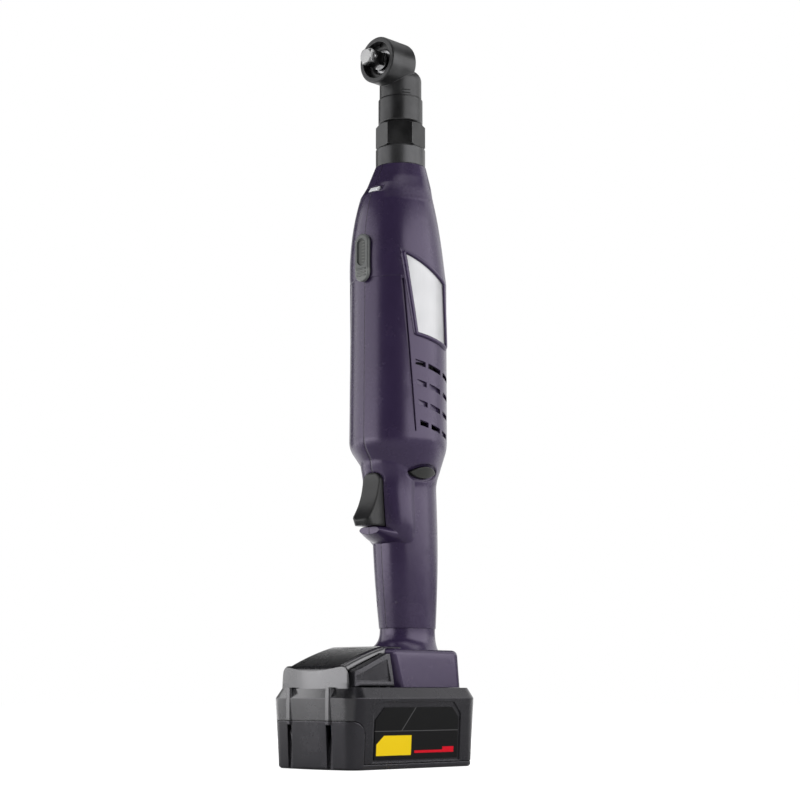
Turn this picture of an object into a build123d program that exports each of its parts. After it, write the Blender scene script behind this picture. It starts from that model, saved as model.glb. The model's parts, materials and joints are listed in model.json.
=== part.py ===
from build123d import *
import os
from math import acos, atan, cos, exp, hypot, pi, radians, sin, sqrt, tan

os.makedirs("parts", exist_ok=True)

# Cordless angle nutrunner in millimetres. It stands on its battery pack: +Z runs up the
# tool's axis, -Y is the side of the trigger and the output drive, +X is the right side.

# Heights of the stack, each measured from the piece below
pack_seam_h = 30.6
pack_crease_h = 14.1
deck_h = 6.8
foot_h = 24.5
foot_neck_h = 14.7
grip_h = 94.7
taper_h = 31.3
barrel_h = 110.8
nose_h = 83.9
collar_h = 14.3
lock_nut_h = 17.4
sleeve_h = 18.8
neck_h = 24.0

# Clearances
slide_gap = 0.3
run_gap = 0.05
seat_gap = 0.02
face_gap = 0.2

# Levels worked out from the heights
crease_z = pack_seam_h + pack_crease_h
deck_z = crease_z + deck_h
foot_z = deck_z + slide_gap
shoulder_z = foot_z + foot_h
seam_z = shoulder_z + foot_neck_h
waist_z = seam_z + grip_h
barrel_z = waist_z + taper_h
relief_z = barrel_z + barrel_h
nose_z = relief_z + nose_h
collar_z = nose_z + collar_h
nut_z = collar_z + lock_nut_h
sleeve_z = nut_z + sleeve_h
head_z = sleeve_z + neck_h

# Housing
wall = 2.6
barrel_r = 33.5
barrel_y = -2.4
nose_tip_r = 17.9
nose_taper = 0.25
nose_fullness = 2.4
nose_lean = 2.4
nose_lean_share = 0.2
nose_lip_h = 26.0
nose_sections = 8
brow_h = 61.2
lamp_h = 69.2
lamp_r = 22.4
lamp_y = -1.6
grip_width = 36.0
grip_depth = 41.2
grip_offset = 6.8
grip_swell = 1.2
waist_width = 40.8
waist_depth = 48.0
waist_offset = 3.4
grip_sections = 24
taper_ease = 0.25
relief_d = 0.6
relief_top_y = -24.7
relief_low_y = -17.4
relief_low_z = barrel_z + 4.5
relief_groove_w = 0.9

# Chin under the trigger
chin_z = seam_z + 65.0
chin_reach = 30.5
chin_width = 16.0
chin_root = 16.0

# Cheeks beside the trigger: half width and front of each section, from the lowest up
cheek_sections = [
    (13.0, -10.0),
    (17.0, -16.5),
    (19.3, -24.0),
    (19.6, -25.5),
    (19.4, -26.5),
    (19.6, -27.0),
    (20.4, -28.2),
    (20.0, -28.6),
]
cheek_low_z = chin_z - 19.2
cheek_pitch = 9.9
cheek_back_y = 6.0

# Trigger
trigger_width = 15.6
trigger_h = 35.7
trigger_gap = 0.5
trigger_lip_y = -40.0
trigger_top_y = -28.6
trigger_back_y = -11.4
trigger_room = 50.0
trigger_edge_r = 4.0
trigger_z = chin_z + 2.5
trigger_wing_half_w = 10.0
trigger_bore_d = 8.6
trigger_spring_r = 3.6
trigger_wire_r = 0.45
trigger_turns = 5
stem_r = 2.0
spring_end = 0.5

# Direction selector
selector_z = barrel_z - 22.0
selector_length = 22.0
selector_h = 7.4
selector_y = -1.0
selector_stand = 1.0
selector_scoop_d = 1.2
selector_margin = 2.0

# Name plates, vents, window and lamp of the barrel
plate_corners = [(-22.9, 14.7), (8.0, -2.9), (11.5, -44.8), (-15.6, -38.9)]
plate_t = 1.2
plate_stand = 0.2
plate_frame = 2.2
frame_stand = 0.7
vent_h = 3.4
vent_slope = 0.25
vent_rows = 4
vent_high_ends = [(-17.0, -9.7), (-7.5, 5.0), (8.2, 19.0)]
vent_low_ends = [(-13.8, -7.5), (-4.8, 4.2), (6.9, 14.5)]
vent_row_pitch = 13.5
vent_first_z = barrel_z + 8.6
vent_blind_d = 1.8
vent_shallow_d = 0.3
groove_skin_d = 1.2
cover_width = 12.6
cover_h = 33.4
cover_t = 2.4
cover_low_z = relief_z - 3.0
cover_gap = 0.75
window_width = 6.2
window_h = 26.0
window_low_z = cover_low_z + 4.5
tongue_h = 12.5
flange_gap = 0.9
flange_t = 1.4
lens_share = 0.42
lens_half_w = 4.2
lens_h = 4.0
lens_t = 2.4
lens_sink = 0.2
lens_room_half_w = 8.0
lens_room_h = 5.4
lens_room_d = 1.8
led_board_t = 1.4

# Housing screws, at Y and height of each, and the bosses that take them
screw_r = 1.25
screw_head_r = 2.4
screw_head_t = 2.2
screw_length = 13.0
screw_seat_x = -6.0
boss_r = 2.5
barrel_boss_y = 27.7

# Motor
motor_r = 25.0
motor_z = barrel_z + 2.0
motor_plate_t = 6.0
fan_h = 7.0
fan_r = 22.0
fan_gap = 1.2
coil_over = 5.0
stator_h = 32.0
rotor_r = 12.6
air_gap = 0.4
shaft_r = 2.5
bearing_w = 5.0
bearing_r = 8.0
fan_hub_r = 6.0
fan_blades = 9
stator_teeth = 6
tooth_half_w = 3.2
coil_t = 2.3

fan_z = motor_z + motor_plate_t + fan_gap
stator_z = fan_z + fan_h + fan_gap + coil_over
front_plate_z = stator_z + stator_h + coil_over + fan_gap
case_z = front_plate_z + motor_plate_t

# Planetary gears
gear_module = 0.7
sun_teeth = 12
planet_teeth = 18
ring_teeth = sun_teeth + 2 * planet_teeth
planet_count = 3
backlash = 0.16
planet_h = 8.0
carrier_t = 3.5
carrier_r = 15.0
planet_pin_r = 2.0
gear_gap = 0.4
addendum = 0.9
dedendum = 1.15
gear_orbit = gear_module * (sun_teeth + planet_teeth) / 2
ring_r = 20.5
first_planet_z = case_z + 3.0
first_plate_z = first_planet_z + planet_h + gear_gap
second_planet_z = first_plate_z + carrier_t + gear_gap
second_plate_z = second_planet_z + planet_h + gear_gap
ring_top_z = second_plate_z

# Gear case and clutch
case_r = motor_r
case_wall = 3.0
clutch_bore_r = 17.5
clutch_case_r = clutch_bore_r + case_wall
case_neck_r = 15.0
collar_r = 17.4
spigot_r = 12.8
spigot_h = 8.0
clutch_stem_r = 7.0
clutch_nut_h = 9.0
clutch_nut_r = 16.0
pilot_pin_r = 4.0
clutch_nut_z = relief_z + 1.0
spring_h = 23.0
spring_wire_r = 1.3
spring_r = 11.5
spring_turns = 5
cam_t = 5.0
cam_r = 15.0
ball_r = 2.5
ball_orbit = 11.0
ball_count = 6
cam_gap = 3.0
output_flange_t = 6.0
output_r = 7.5
output_bearing_r = 14.0
output_bearing_w = 7.0
spline_teeth = 24
spline_r = 4.2
spline_depth = 0.7
spline_gap = 0.14
spline_h = 11.0
cam_z = clutch_nut_z + clutch_nut_h + spring_h
flange_z = cam_z + cam_t + cam_gap
output_bearing_z = flange_z + output_flange_t + 1.0

# Angle head
head_r = 16.4
head_face_y = -24.5
head_back_y = 0.0
head_back_r = 2.5
head_neck_r = 14.8
head_sleeve_r = 15.6
dome_drop = 3.5
dome_r = 7.5
pilot_r = 9.0
pilot_h = 11.0
tail_r = 10.2
clip_r = 12.4
clip_t = 3.4
nut_lip_t = 2.8
nut_gap = 0.3
nut_corner_r = 17.4
nut_turn = -18
pinion_teeth = 13
bevel_teeth = 21
bevel_module = 0.85
bevel_face = 3.4
bevel_backlash = 0.34
pinion_shaft_r = 4.0
pinion_bearing_r = 8.0
pinion_bearing_w = 5.0
spindle_r = 6.0
spindle_bearing_r = 12.5
spindle_bearing_w = 7.0
square_side = 9.525
square_stand = 11.0
drive_collar_r = 6.6
head_ring_t = 2.4
head_ring_r = 12.9
ring_hole_r = 8.4
bevel_room_r = 11.3
bevel_room_y = -2.9
bevel_back = 4.4
bevel_root_r = 7.3
pinion_hub_r = 5.8
pinion_cone_h = 2.6
pinion_root_r = 4.4
journal_r = 3.5
journal_back_y = -1.2
spindle_seat_r = 5.0
square_corner_r = 6.35
detent_r = 1.6

# Battery pack and foot
pack_half_w = 36.75
pack_front_y = -84.6
pack_back_y = 35.0
pack_flare = 2.4
pack_corner_r = 10.0
pack_crown = 4.4
pack_wall = 2.5
deck_inset = 1.8
foot_half_w = 31.4
foot_front_y = -38.0
foot_nose_y = -50.0
foot_back_y = 30.0
foot_corner_r = 9.0
foot_draft = 1.2
foot_slant = 7.0
foot_flare = 6.0
foot_neck_sections = 6
foot_edge_r = 3.5
foot_edge_steps = 4
foot_spigot_h = 8.0
foot_channel_r = 9.0
rail_half_w = 26.5
rail_neck_half_w = 21.5
rail_neck_h = 3.4
rail_h = 11.0
rail_back_y = 24.0
rail_front_y = -38.0
bridge_half_w = 20.0
bridge_front_y = -54.0
hump_half_w = 25.5
hump_front_z = deck_z + 12.0
hump_gap = 0.6
hump_peak_y = -42.0
hump_peak_z = deck_z + 26.6
hump_edge_r = 4.0
hump_crown = 1.2
hump_brow_r = 3.0
hump_nose_half_w = 30.8
hump_nose_d = 4.1
hump_nose_r = 3.0
groove_d = 0.5
seam_y = -72.0
seam_r = 10.0
tray_h = 3.5
front_rib_places = (-18.0, 18.0)
front_rib_z = 28.0
front_rib_width = 4.5
front_rib_y = -86.6
front_groove_y = -82.2
latch_gap = 0.4
latch_inset = 2.5
latch_outer_x = 34.0
latch_plate_t = 5.0
latch_stem_x = 20.0
latch_post_half_w = 5.0
latch_spring_y = -67.0
latch_spring_z = deck_z + 6.5
latch_spring_r = 2.6
latch_wire_r = 0.4
latch_turns = 5
terminal_half_w = 16.0
terminal_depth = 24.0
terminal_h = 8.5
terminal_y = 10.0
blade_places = (-12.0, -4.0, 4.0, 12.0)
blade_t = 1.0
blade_h = 6.0
blade_slot_y = 0.0
lead_r = 1.4
lead_y = 16.5
panel_corners = [(-65, 4.5), (17.5, 4.5), (17.5, 35), (10.5, 42.4), (-57.5, 42.4), (-65, 35)]
panel_d = 0.8
label_corners = [(-63, 6), (15.5, 6), (15.5, 32.5), (9, 39), (-55, 39), (-63, 31)]
label_t = 0.5
pack_screw_places = [(-22, 29.2), (22, 29.2), (-10, -78.4), (10, -78.4)]
pack_boss_r = 2.0
pack_screw_r = 1.1
pack_screw_head_r = 1.9
pack_screw_seat_z = 1.6
pack_screw_length = 38.0
cell_r = 9.2
cell_length = 65.0
cells_across = 5
cell_pitch = 18.5

rail_low_z = foot_z + rail_neck_h
rail_top_z = deck_z + rail_h
foot_roof_z = rail_top_z + slide_gap
terminal_top_z = foot_roof_z + terminal_h
pack_slope = pack_flare / crease_z
front_reach = barrel_r - barrel_y
side_plane = Plane(origin=(pack_half_w, 0, 0), x_dir=(0, 1, 0), z_dir=(1, 0, -pack_slope))


# Radius and forward lean of the nose at a share of its height
def nose_radius(share):
    drop = nose_taper * share + (1 - nose_taper) * share**nose_fullness
    return nose_tip_r + (barrel_r - nose_tip_r) * (1 - drop)


def nose_centre(share):
    lean = nose_lean * (1 - exp(-share / nose_lean_share))
    return (barrel_y - lean) * (1 - share**6)


# Half width, half depth and centre of the grip at a height above the foot seam
def grip_section(height):
    low = (grip_width / 2, grip_depth / 2, grip_offset)
    waist = (waist_width / 2, waist_depth / 2, waist_offset)
    top = (barrel_r, barrel_r, barrel_y)
    if height <= grip_h:
        share = height / grip_h
        swell = grip_swell * sin(pi * share)
        width, depth, centre = [a + (b - a) * share for a, b in zip(low, waist)]
        return width + swell, depth + swell, centre
    rise = (height - grip_h) / taper_h
    slope = 1 / (1 - taper_ease)
    if rise < taper_ease:
        share = slope * rise**2 / (2 * taper_ease)
    elif rise > 1 - taper_ease:
        share = 1 - slope * (1 - rise)**2 / (2 * taper_ease)
    else:
        share = slope * (rise - taper_ease / 2)
    return [a + (b - a) * share for a, b in zip(waist, top)]


# Lofted grip, set in from the outside by inset
def grip_form(inset):
    with BuildPart() as form:
        for i in range(grip_sections):
            height = (grip_h + taper_h) * i / grip_sections
            width, depth, centre = grip_section(height)
            with BuildSketch(Plane.XY.offset(seam_z + height)):
                with Locations((0, centre)):
                    Ellipse(width - inset, depth - inset)
        with BuildSketch(Plane.XY.offset(barrel_z)):
            with Locations(Location((0, barrel_y, 0), (0, 0, 90))):
                Circle(barrel_r - inset)
        loft()
    return form.part


# Straight barrel and lofted nose up to its brow, or to a share of the nose's height
brow_share = brow_h / nose_h


def barrel_form(inset, top_share=brow_share):
    with BuildPart() as form:
        with BuildSketch(Plane.XY.offset(barrel_z)):
            with Locations((0, barrel_y)):
                Circle(barrel_r - inset)
        extrude(amount=barrel_h)
        for i in range(nose_sections + 1):
            share = top_share * i / nose_sections
            with BuildSketch(Plane.XY.offset(relief_z + nose_h * share)):
                with Locations((0, nose_centre(share))):
                    Circle(nose_radius(share) - inset)
        loft()
    return form.part


# Cheeks beside the trigger, set in from the outside by inset
def cheek_form(inset):
    with BuildPart() as form:
        for i, (half_w, front) in enumerate(cheek_sections):
            with BuildSketch(Plane.XY.offset(cheek_low_z + cheek_pitch * i)):
                with Locations((0, (front + inset + cheek_back_y) / 2)):
                    Ellipse(half_w - inset, (cheek_back_y - front - inset) / 2)
        loft()
    return form.part


nose_inner_share = 1 - nose_lip_h / nose_h
grip_outer = grip_form(0)
grip_inner = grip_form(wall)
cheek_outer = cheek_form(0)
cheek_inner = cheek_form(wall)
barrel_outer = barrel_form(0)
barrel_inner = barrel_form(wall, nose_inner_share)

# Nose above the brow: a slope that carries the lamp, then a cone to the collar
with BuildPart() as nose_top:
    for height, radius, centre in [
        (brow_h, nose_radius(brow_share), nose_centre(brow_share)),
        (lamp_h, lamp_r, lamp_y),
        (nose_h, nose_tip_r, 0),
    ]:
        with BuildSketch(Plane.XY.offset(relief_z + height)):
            with Locations((0, centre)):
                Circle(radius)
    loft(ruled=True)

with BuildPart() as chin:
    for reach, half_w, low, high in [
        (chin_root - 11, chin_width, chin_z - 10, chin_z + 5),
        (chin_root, chin_width - 1.0, chin_z - 9.4, chin_z + 4),
        (chin_root + 5.5, chin_width - 2.8, chin_z - 7.6, chin_z + 3.2),
        (chin_root + 10, chin_width - 4.6, chin_z - 5.4, chin_z + 2.8),
        (chin_reach, chin_width - 6.8, chin_z - 3.0, chin_z + 2.6),
    ]:
        with BuildSketch(Plane.XZ.offset(reach)):
            with Locations((0, (low + high) / 2)):
                Ellipse(half_w, (high - low) / 2)
    loft()


# Ring of skin between two depths under the outside of the barrel and nose
def barrel_skin(outer_inset, inner_inset):
    outer = barrel_form(outer_inset)
    inner = barrel_form(inner_inset)
    with BuildPart() as skin:
        add(outer)
        add(inner, mode=Mode.SUBTRACT)
    return skin.part


# Prism over the name plate on the right side, grown by margin
def plate_prism(margin):
    with BuildPart() as prism:
        with BuildSketch(Plane.YZ):
            with BuildLine():
                Polyline(*[(y, relief_z + z) for y, z in plate_corners], close=True)
            make_face()
            if margin > 0:
                offset(amount=margin, kind=Kind.INTERSECTION)
        extrude(amount=barrel_r + 5)
    return prism.part


plate_floor = plate_t - plate_stand
deep_skin = barrel_skin(-2, plate_floor + seat_gap)
plate_skin = barrel_skin(-plate_stand, plate_floor)
frame_skin = barrel_skin(-frame_stand, wall / 2)
groove_skin = barrel_skin(-1, groove_skin_d)
plate_core = plate_prism(0)
plate_room = plate_prism(run_gap)
plate_border = plate_prism(plate_frame)

with BuildPart() as name_plate:
    add(plate_skin)
    add(plate_core, mode=Mode.INTERSECT)

with BuildPart() as plate_pocket:
    add(deep_skin)
    add(plate_room, mode=Mode.INTERSECT)

with BuildPart() as plate_rim:
    add(frame_skin)
    add(plate_border, mode=Mode.INTERSECT)

with BuildPart() as relief:
    with BuildSketch(Plane.XZ.offset(-barrel_y)):
        with BuildLine():
            Polyline(
                (barrel_r - relief_d, relief_z),
                (barrel_r + 2, relief_z),
                (barrel_r + 2, relief_low_z),
                (barrel_r, relief_low_z),
                close=True,
            )
        make_face()
    revolve(axis=Axis((0, barrel_y, 0), (0, 0, 1)))
    with BuildSketch(Plane.YZ):
        with BuildLine():
            Polyline(
                (-barrel_r - 8, relief_z + 5),
                (-barrel_r - 8, relief_low_z - 5),
                (relief_low_y, relief_low_z - 5),
                (relief_top_y, relief_z),
                close=True,
            )
        make_face()
    extrude(amount=barrel_r + 5, both=True, mode=Mode.INTERSECT)

# Groove along the slanted edge of the relief
relief_slant = (relief_top_y - relief_low_y) / (relief_z - relief_low_z)
with BuildPart() as relief_groove:
    with BuildSketch(Plane.YZ):
        Polygon(
            (relief_low_y, relief_low_z),
            (relief_low_y + relief_groove_w, relief_low_z),
            (relief_top_y + relief_groove_w - 2 * relief_slant, relief_z - 2),
            (relief_top_y - 2 * relief_slant, relief_z - 2),
            align=None,
        )
    extrude(amount=barrel_r + 5, both=True)
    add(groove_skin, mode=Mode.INTERSECT)


# Vents on the side of the barrel: row, the Y of both ends and the height of the front end
def vent_places():
    for row in range(vent_rows):
        share = row / (vent_rows - 1)
        for low_ends, high_ends in zip(vent_low_ends, vent_high_ends):
            front, back = [a + (b - a) * share for a, b in zip(low_ends, high_ends)]
            z = vent_first_z + vent_row_pitch * row - vent_slope * (front - vent_low_ends[0][0])
            yield row, front, back, z


# One slanted vent outline with upright ends
def vent_corners(front, back, z):
    fall = vent_slope * (back - front)
    return [(front, z), (back, z - fall), (back, z - fall + vent_h), (front, z + vent_h)]


# Half width of the barrel at a distance from its middle plane
def barrel_half(y):
    return sqrt(barrel_r**2 - (y - barrel_y)**2)


with BuildPart() as open_vents:
    for row, front, back, z in vent_places():
        if row in (0, vent_rows - 1):
            with BuildSketch(Plane.YZ):
                Polygon(*vent_corners(front, back, z), align=None)
            extrude(amount=barrel_r + 5, both=True)

# Blind vents of the right side, with floors that sink towards the back
with BuildPart() as blind_floors:
    for row, front, back, z in vent_places():
        if row not in (0, vent_rows - 1):
            with BuildSketch(Plane.XY.offset(z - vent_row_pitch / 2)):
                Polygon(
                    (barrel_half(front) - vent_shallow_d, front),
                    (barrel_half(back) - vent_blind_d, back),
                    (barrel_r + 5, back),
                    (barrel_r + 5, front),
                    align=None,
                )
            extrude(amount=vent_row_pitch - 0.5)

with BuildPart() as blind_vents:
    for row, front, back, z in vent_places():
        if row not in (0, vent_rows - 1):
            with BuildSketch(Plane.YZ):
                Polygon(*vent_corners(front, back, z), align=None)
            extrude(amount=barrel_r + 5)
    add(blind_floors.part, mode=Mode.INTERSECT)

# Bosses of the clamshell: Y, height and half length along X
screw_places = [
    (barrel_boss_y, motor_z + 15, 9.0),
    (barrel_boss_y, case_z + 8, 9.0),
    (24.0, relief_z + 21, 12.5),
    (23.6, seam_z + 22, 8.0),
    (23.8, seam_z + 79, 9.5),
    (-11.0, seam_z + 17, 9.0),
]
rib_t = 2.0
rib_levels = [
    (motor_z + 2, motor_r),
    (stator_z + 6, motor_r),
    (stator_z + stator_h - 3, motor_r),
    (front_plate_z + 2, motor_r),
    (case_z + 6, case_r),
    (case_z + 20, case_r),
]
switch_half_w = 9.0
switch_front_y = -4.5
switch_back_y = 12.0
switch_z = trigger_z + 2
switch_h = 28.0
stem_z = switch_z + 14
board_half_w = 13.0
board_y = 9.0
board_t = 1.6
board_z = seam_z + 9
board_h = 42.0
rib_bury = 2.1

scoop_outer = grip_form(-3)
scoop_floor = grip_form(selector_scoop_d)
with BuildPart() as selector_scoop:
    with BuildSketch(Plane.YZ):
        with Locations((selector_y, selector_z)):
            Ellipse(selector_length / 2 + selector_margin, selector_h / 2 + selector_margin)
    extrude(amount=barrel_r, both=True)
    add(scoop_outer, mode=Mode.INTERSECT)
    add(scoop_floor, mode=Mode.SUBTRACT)

with BuildPart() as shell:
    add(barrel_outer)
    add(nose_top.part)
    add(grip_outer)
    add(cheek_outer)
    add(chin.part)
    add(barrel_inner, mode=Mode.SUBTRACT)
    add(grip_inner, mode=Mode.SUBTRACT)
    add(cheek_inner, mode=Mode.SUBTRACT)
    with BuildSketch(Plane.XY.offset(nose_z)):
        Circle(case_neck_r + face_gap)
    extrude(amount=-nose_lip_h - 1, mode=Mode.SUBTRACT)
    add(relief.part, mode=Mode.SUBTRACT)
    add(relief_groove.part, mode=Mode.SUBTRACT)
    add(open_vents.part, mode=Mode.SUBTRACT)
    add(blind_vents.part, mode=Mode.SUBTRACT)
    add(mirror(blind_vents.part, about=Plane.YZ, mode=Mode.PRIVATE), mode=Mode.SUBTRACT)
    for level, radius in rib_levels:
        with BuildSketch(Plane.XY.offset(level)):
            with Locations((0, barrel_y)):
                Circle(barrel_r - wall / 2)
            Circle(radius + seat_gap, mode=Mode.SUBTRACT)
        extrude(amount=rib_t)
    for y, z, half in screw_places:
        with BuildSketch(Plane.YZ):
            with Locations((y, z)):
                Circle(boss_r)
        extrude(amount=half, both=True)
    for level, inner_x, y, depth in (
        (switch_z + 4, switch_half_w, 4, 12),
        (switch_z + switch_h - 6, switch_half_w, 4, 12),
        (board_z + 4, board_half_w, board_y + 1, 8),
        (board_z + board_h - 6, board_half_w, board_y + 1, 8),
    ):
        reach = grip_section(level - seam_z)[0] - rib_bury
        for side in (-1, 1):
            with BuildSketch(Plane.XY.offset(level)):
                with Locations((side * (inner_x + seat_gap + reach) / 2, y)):
                    Rectangle(reach - inner_x - seat_gap, depth)
            extrude(amount=rib_t)
    with BuildSketch(Plane.XZ):
        with Locations((0, trigger_z - trigger_gap + (trigger_h + 2 * trigger_gap) / 2)):
            Rectangle(trigger_width + 2 * trigger_gap, trigger_h + 2 * trigger_gap)
        fillet(vertices().group_by(Axis.Y)[-1], trigger_width * 0.36 + trigger_gap)
    extrude(amount=trigger_room, mode=Mode.SUBTRACT)
    with BuildSketch(Plane.YZ):
        with BuildLine():
            half_l = selector_length / 2 + face_gap * 2
            half_h = selector_h / 2 + face_gap
            ThreePointArc(
                (selector_y - half_l, selector_z),
                (selector_y, selector_z + half_h),
                (selector_y + half_l, selector_z),
            )
            ThreePointArc(
                (selector_y + half_l, selector_z),
                (selector_y, selector_z - half_h),
                (selector_y - half_l, selector_z),
            )
        make_face()
    extrude(amount=barrel_r, both=True, mode=Mode.SUBTRACT)
    with BuildSketch(Plane.XZ.offset(front_reach - wall - 6)):
        with Locations((0, window_low_z + window_h / 2)):
            SlotOverall(window_h, window_width, rotation=90)
    extrude(amount=20, mode=Mode.SUBTRACT)
    add(selector_scoop.part, mode=Mode.SUBTRACT)

brow_front_y = nose_centre(brow_share) - nose_radius(brow_share)
brow_slope_y = lamp_y - lamp_r - brow_front_y
brow_slope_z = lamp_h - brow_h
lamp_plane = Plane(
    origin=(0, brow_front_y + lens_share * brow_slope_y, relief_z + brow_h + lens_share * brow_slope_z),
    x_dir=(1, 0, 0),
    z_dir=(0, -brow_slope_z, brow_slope_y),
)
with BuildPart() as led_pocket:
    with BuildSketch(lamp_plane):
        Rectangle(2 * lens_room_half_w, lens_room_h)
    extrude(amount=-lens_room_d)
    with BuildSketch(lamp_plane):
        Rectangle(2 * (lens_half_w + seat_gap), lens_h + 2 * seat_gap)
    extrude(amount=-lens_room_d - lens_t - led_board_t - seat_gap)

with BuildPart() as right_housing:
    add(shell.part)
    split(bisect_by=Plane.YZ, keep=Keep.TOP)
    add(plate_rim.part)
    add(plate_pocket.part, mode=Mode.SUBTRACT)
    add(led_pocket.part, mode=Mode.SUBTRACT)
    for y, z, half in screw_places:
        with BuildSketch(Plane.YZ):
            with Locations((y, z)):
                Circle(screw_r + seat_gap)
        extrude(amount=screw_length + screw_seat_x + 0.5, mode=Mode.SUBTRACT)

with BuildPart() as left_housing:
    add(shell.part)
    split(bisect_by=Plane.YZ, keep=Keep.BOTTOM)
    add(led_pocket.part, mode=Mode.SUBTRACT)
    for y, z, half in screw_places:
        with BuildSketch(Plane.YZ):
            with Locations((y, z)):
                Circle(screw_r + face_gap)
        extrude(amount=screw_seat_x, mode=Mode.SUBTRACT)
        with BuildSketch(Plane.YZ.offset(screw_seat_x)):
            with Locations((y, z)):
                Circle(screw_head_r + face_gap)
        extrude(amount=-barrel_r, mode=Mode.SUBTRACT)

with BuildPart() as housing_screws:
    for y, z, half in screw_places:
        with BuildSketch(Plane.YZ.offset(screw_seat_x)):
            with Locations((y, z)):
                Circle(screw_r)
        extrude(amount=screw_length)
        with BuildSketch(Plane.YZ.offset(screw_seat_x)):
            with Locations((y, z)):
                Circle(screw_head_r)
                RegularPolygon(1.3, 6, mode=Mode.SUBTRACT)
        extrude(amount=-screw_head_t)
        with BuildSketch(Plane.YZ.offset(screw_seat_x)):
            with Locations((y, z)):
                Circle(screw_head_r)
        extrude(amount=-0.6)


# Solid of revolution about the tool's axis from radius and height pairs
def turned(points):
    with BuildPart() as form:
        with BuildSketch(Plane.XZ):
            Polygon(*points, align=None)
        revolve(axis=Axis.Z)
    return form.part


# Solid of revolution about the output axis from Y and radius pairs
def turned_head(points):
    with BuildPart() as form:
        with BuildSketch(Plane.YZ):
            Polygon(*[(y, head_z + radius) for y, radius in points], align=None)
        revolve(axis=Axis((0, 0, head_z), (0, 1, 0)))
    return form.part


# Round-wire spring from a start point along a direction
def coil(start, direction, radius, wire_r, height, turns):
    with BuildPart() as form:
        with BuildLine():
            path = Helix(
                pitch=height / turns,
                height=height,
                radius=radius,
                center=start,
                direction=direction,
            )
        with BuildSketch(Plane(path @ 0, z_dir=path % 0)):
            Circle(wire_r)
        sweep(is_frenet=True)
    return form.part


trigger_top = trigger_z + trigger_h
with BuildPart() as trigger:
    with BuildSketch(Plane.YZ):
        with BuildLine():
            ThreePointArc(
                (trigger_top_y, trigger_top),
                ((trigger_top_y + trigger_lip_y) / 2 + 3.0, trigger_z + 0.52 * trigger_h),
                (trigger_lip_y, trigger_z + 3.5),
            )
            Polyline(
                (trigger_lip_y, trigger_z + 3.5),
                (trigger_lip_y + 1.5, trigger_z),
                (trigger_back_y, trigger_z),
                (trigger_back_y, trigger_top - 6),
                (trigger_top_y + 7, trigger_top),
                (trigger_top_y, trigger_top),
            )
        make_face()
    extrude(amount=trigger_width / 2, both=True)
    fillet(trigger.faces().sort_by(Axis.Y)[0].edges().filter_by(Plane.YZ), trigger_edge_r)
    with BuildSketch(Plane.XZ):
        with Locations((0, trigger_z + trigger_h / 2)):
            Rectangle(trigger_width, trigger_h)
        fillet(vertices().group_by(Axis.Y)[-1], trigger_width * 0.36)
    extrude(amount=trigger_room, mode=Mode.INTERSECT)
    with BuildSketch(Plane.XZ.offset(-trigger_back_y)):
        with Locations((0, trigger_z + 15)):
            Rectangle(2 * trigger_wing_half_w, 18)
    extrude(amount=1.4)
    with BuildSketch(Plane.XZ.offset(-trigger_back_y)):
        with Locations((0, stem_z)):
            Circle(trigger_spring_r + 1.4)
    extrude(amount=trigger_bore_d, mode=Mode.SUBTRACT)
    with BuildSketch(Plane.XZ.offset(-trigger_back_y + trigger_bore_d)):
        with Locations((0, stem_z)):
            Circle(stem_r)
    extrude(amount=-trigger_bore_d - 8.5)

with BuildPart() as trigger_switch:
    with BuildSketch(Plane.XY.offset(switch_z)):
        with Locations((0, (switch_front_y + switch_back_y) / 2)):
            RectangleRounded(2 * switch_half_w, switch_back_y - switch_front_y, 1.5)
    extrude(amount=switch_h)
    with BuildSketch(Plane.XZ.offset(-switch_front_y)):
        with Locations((0, stem_z)):
            Circle(stem_r + 0.3)
    extrude(amount=-10, mode=Mode.SUBTRACT)

trigger_spring_length = switch_front_y - trigger_back_y + trigger_bore_d
trigger_spring = coil(
    (0, switch_front_y - spring_end, stem_z),
    (0, -1, 0),
    trigger_spring_r,
    trigger_wire_r,
    trigger_spring_length - 2 * spring_end,
    trigger_turns,
)

selector_skin = grip_form(-selector_stand)
with BuildPart() as direction_selector:
    with BuildSketch(Plane.YZ):
        with BuildLine():
            half_l = selector_length / 2
            half_h = selector_h / 2
            ThreePointArc(
                (selector_y - half_l, selector_z),
                (selector_y, selector_z + half_h),
                (selector_y + half_l, selector_z),
            )
            ThreePointArc(
                (selector_y + half_l, selector_z),
                (selector_y, selector_z - half_h),
                (selector_y - half_l, selector_z),
            )
        make_face()
    extrude(amount=barrel_r + 5, both=True)
    add(selector_skin, mode=Mode.INTERSECT)
    with BuildSketch(Plane.XY.offset(switch_z + switch_h + 0.5)):
        with Locations((0, selector_y + 3)):
            Rectangle(4, 5)
    extrude(amount=selector_z - switch_z - switch_h - 0.5)

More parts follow.
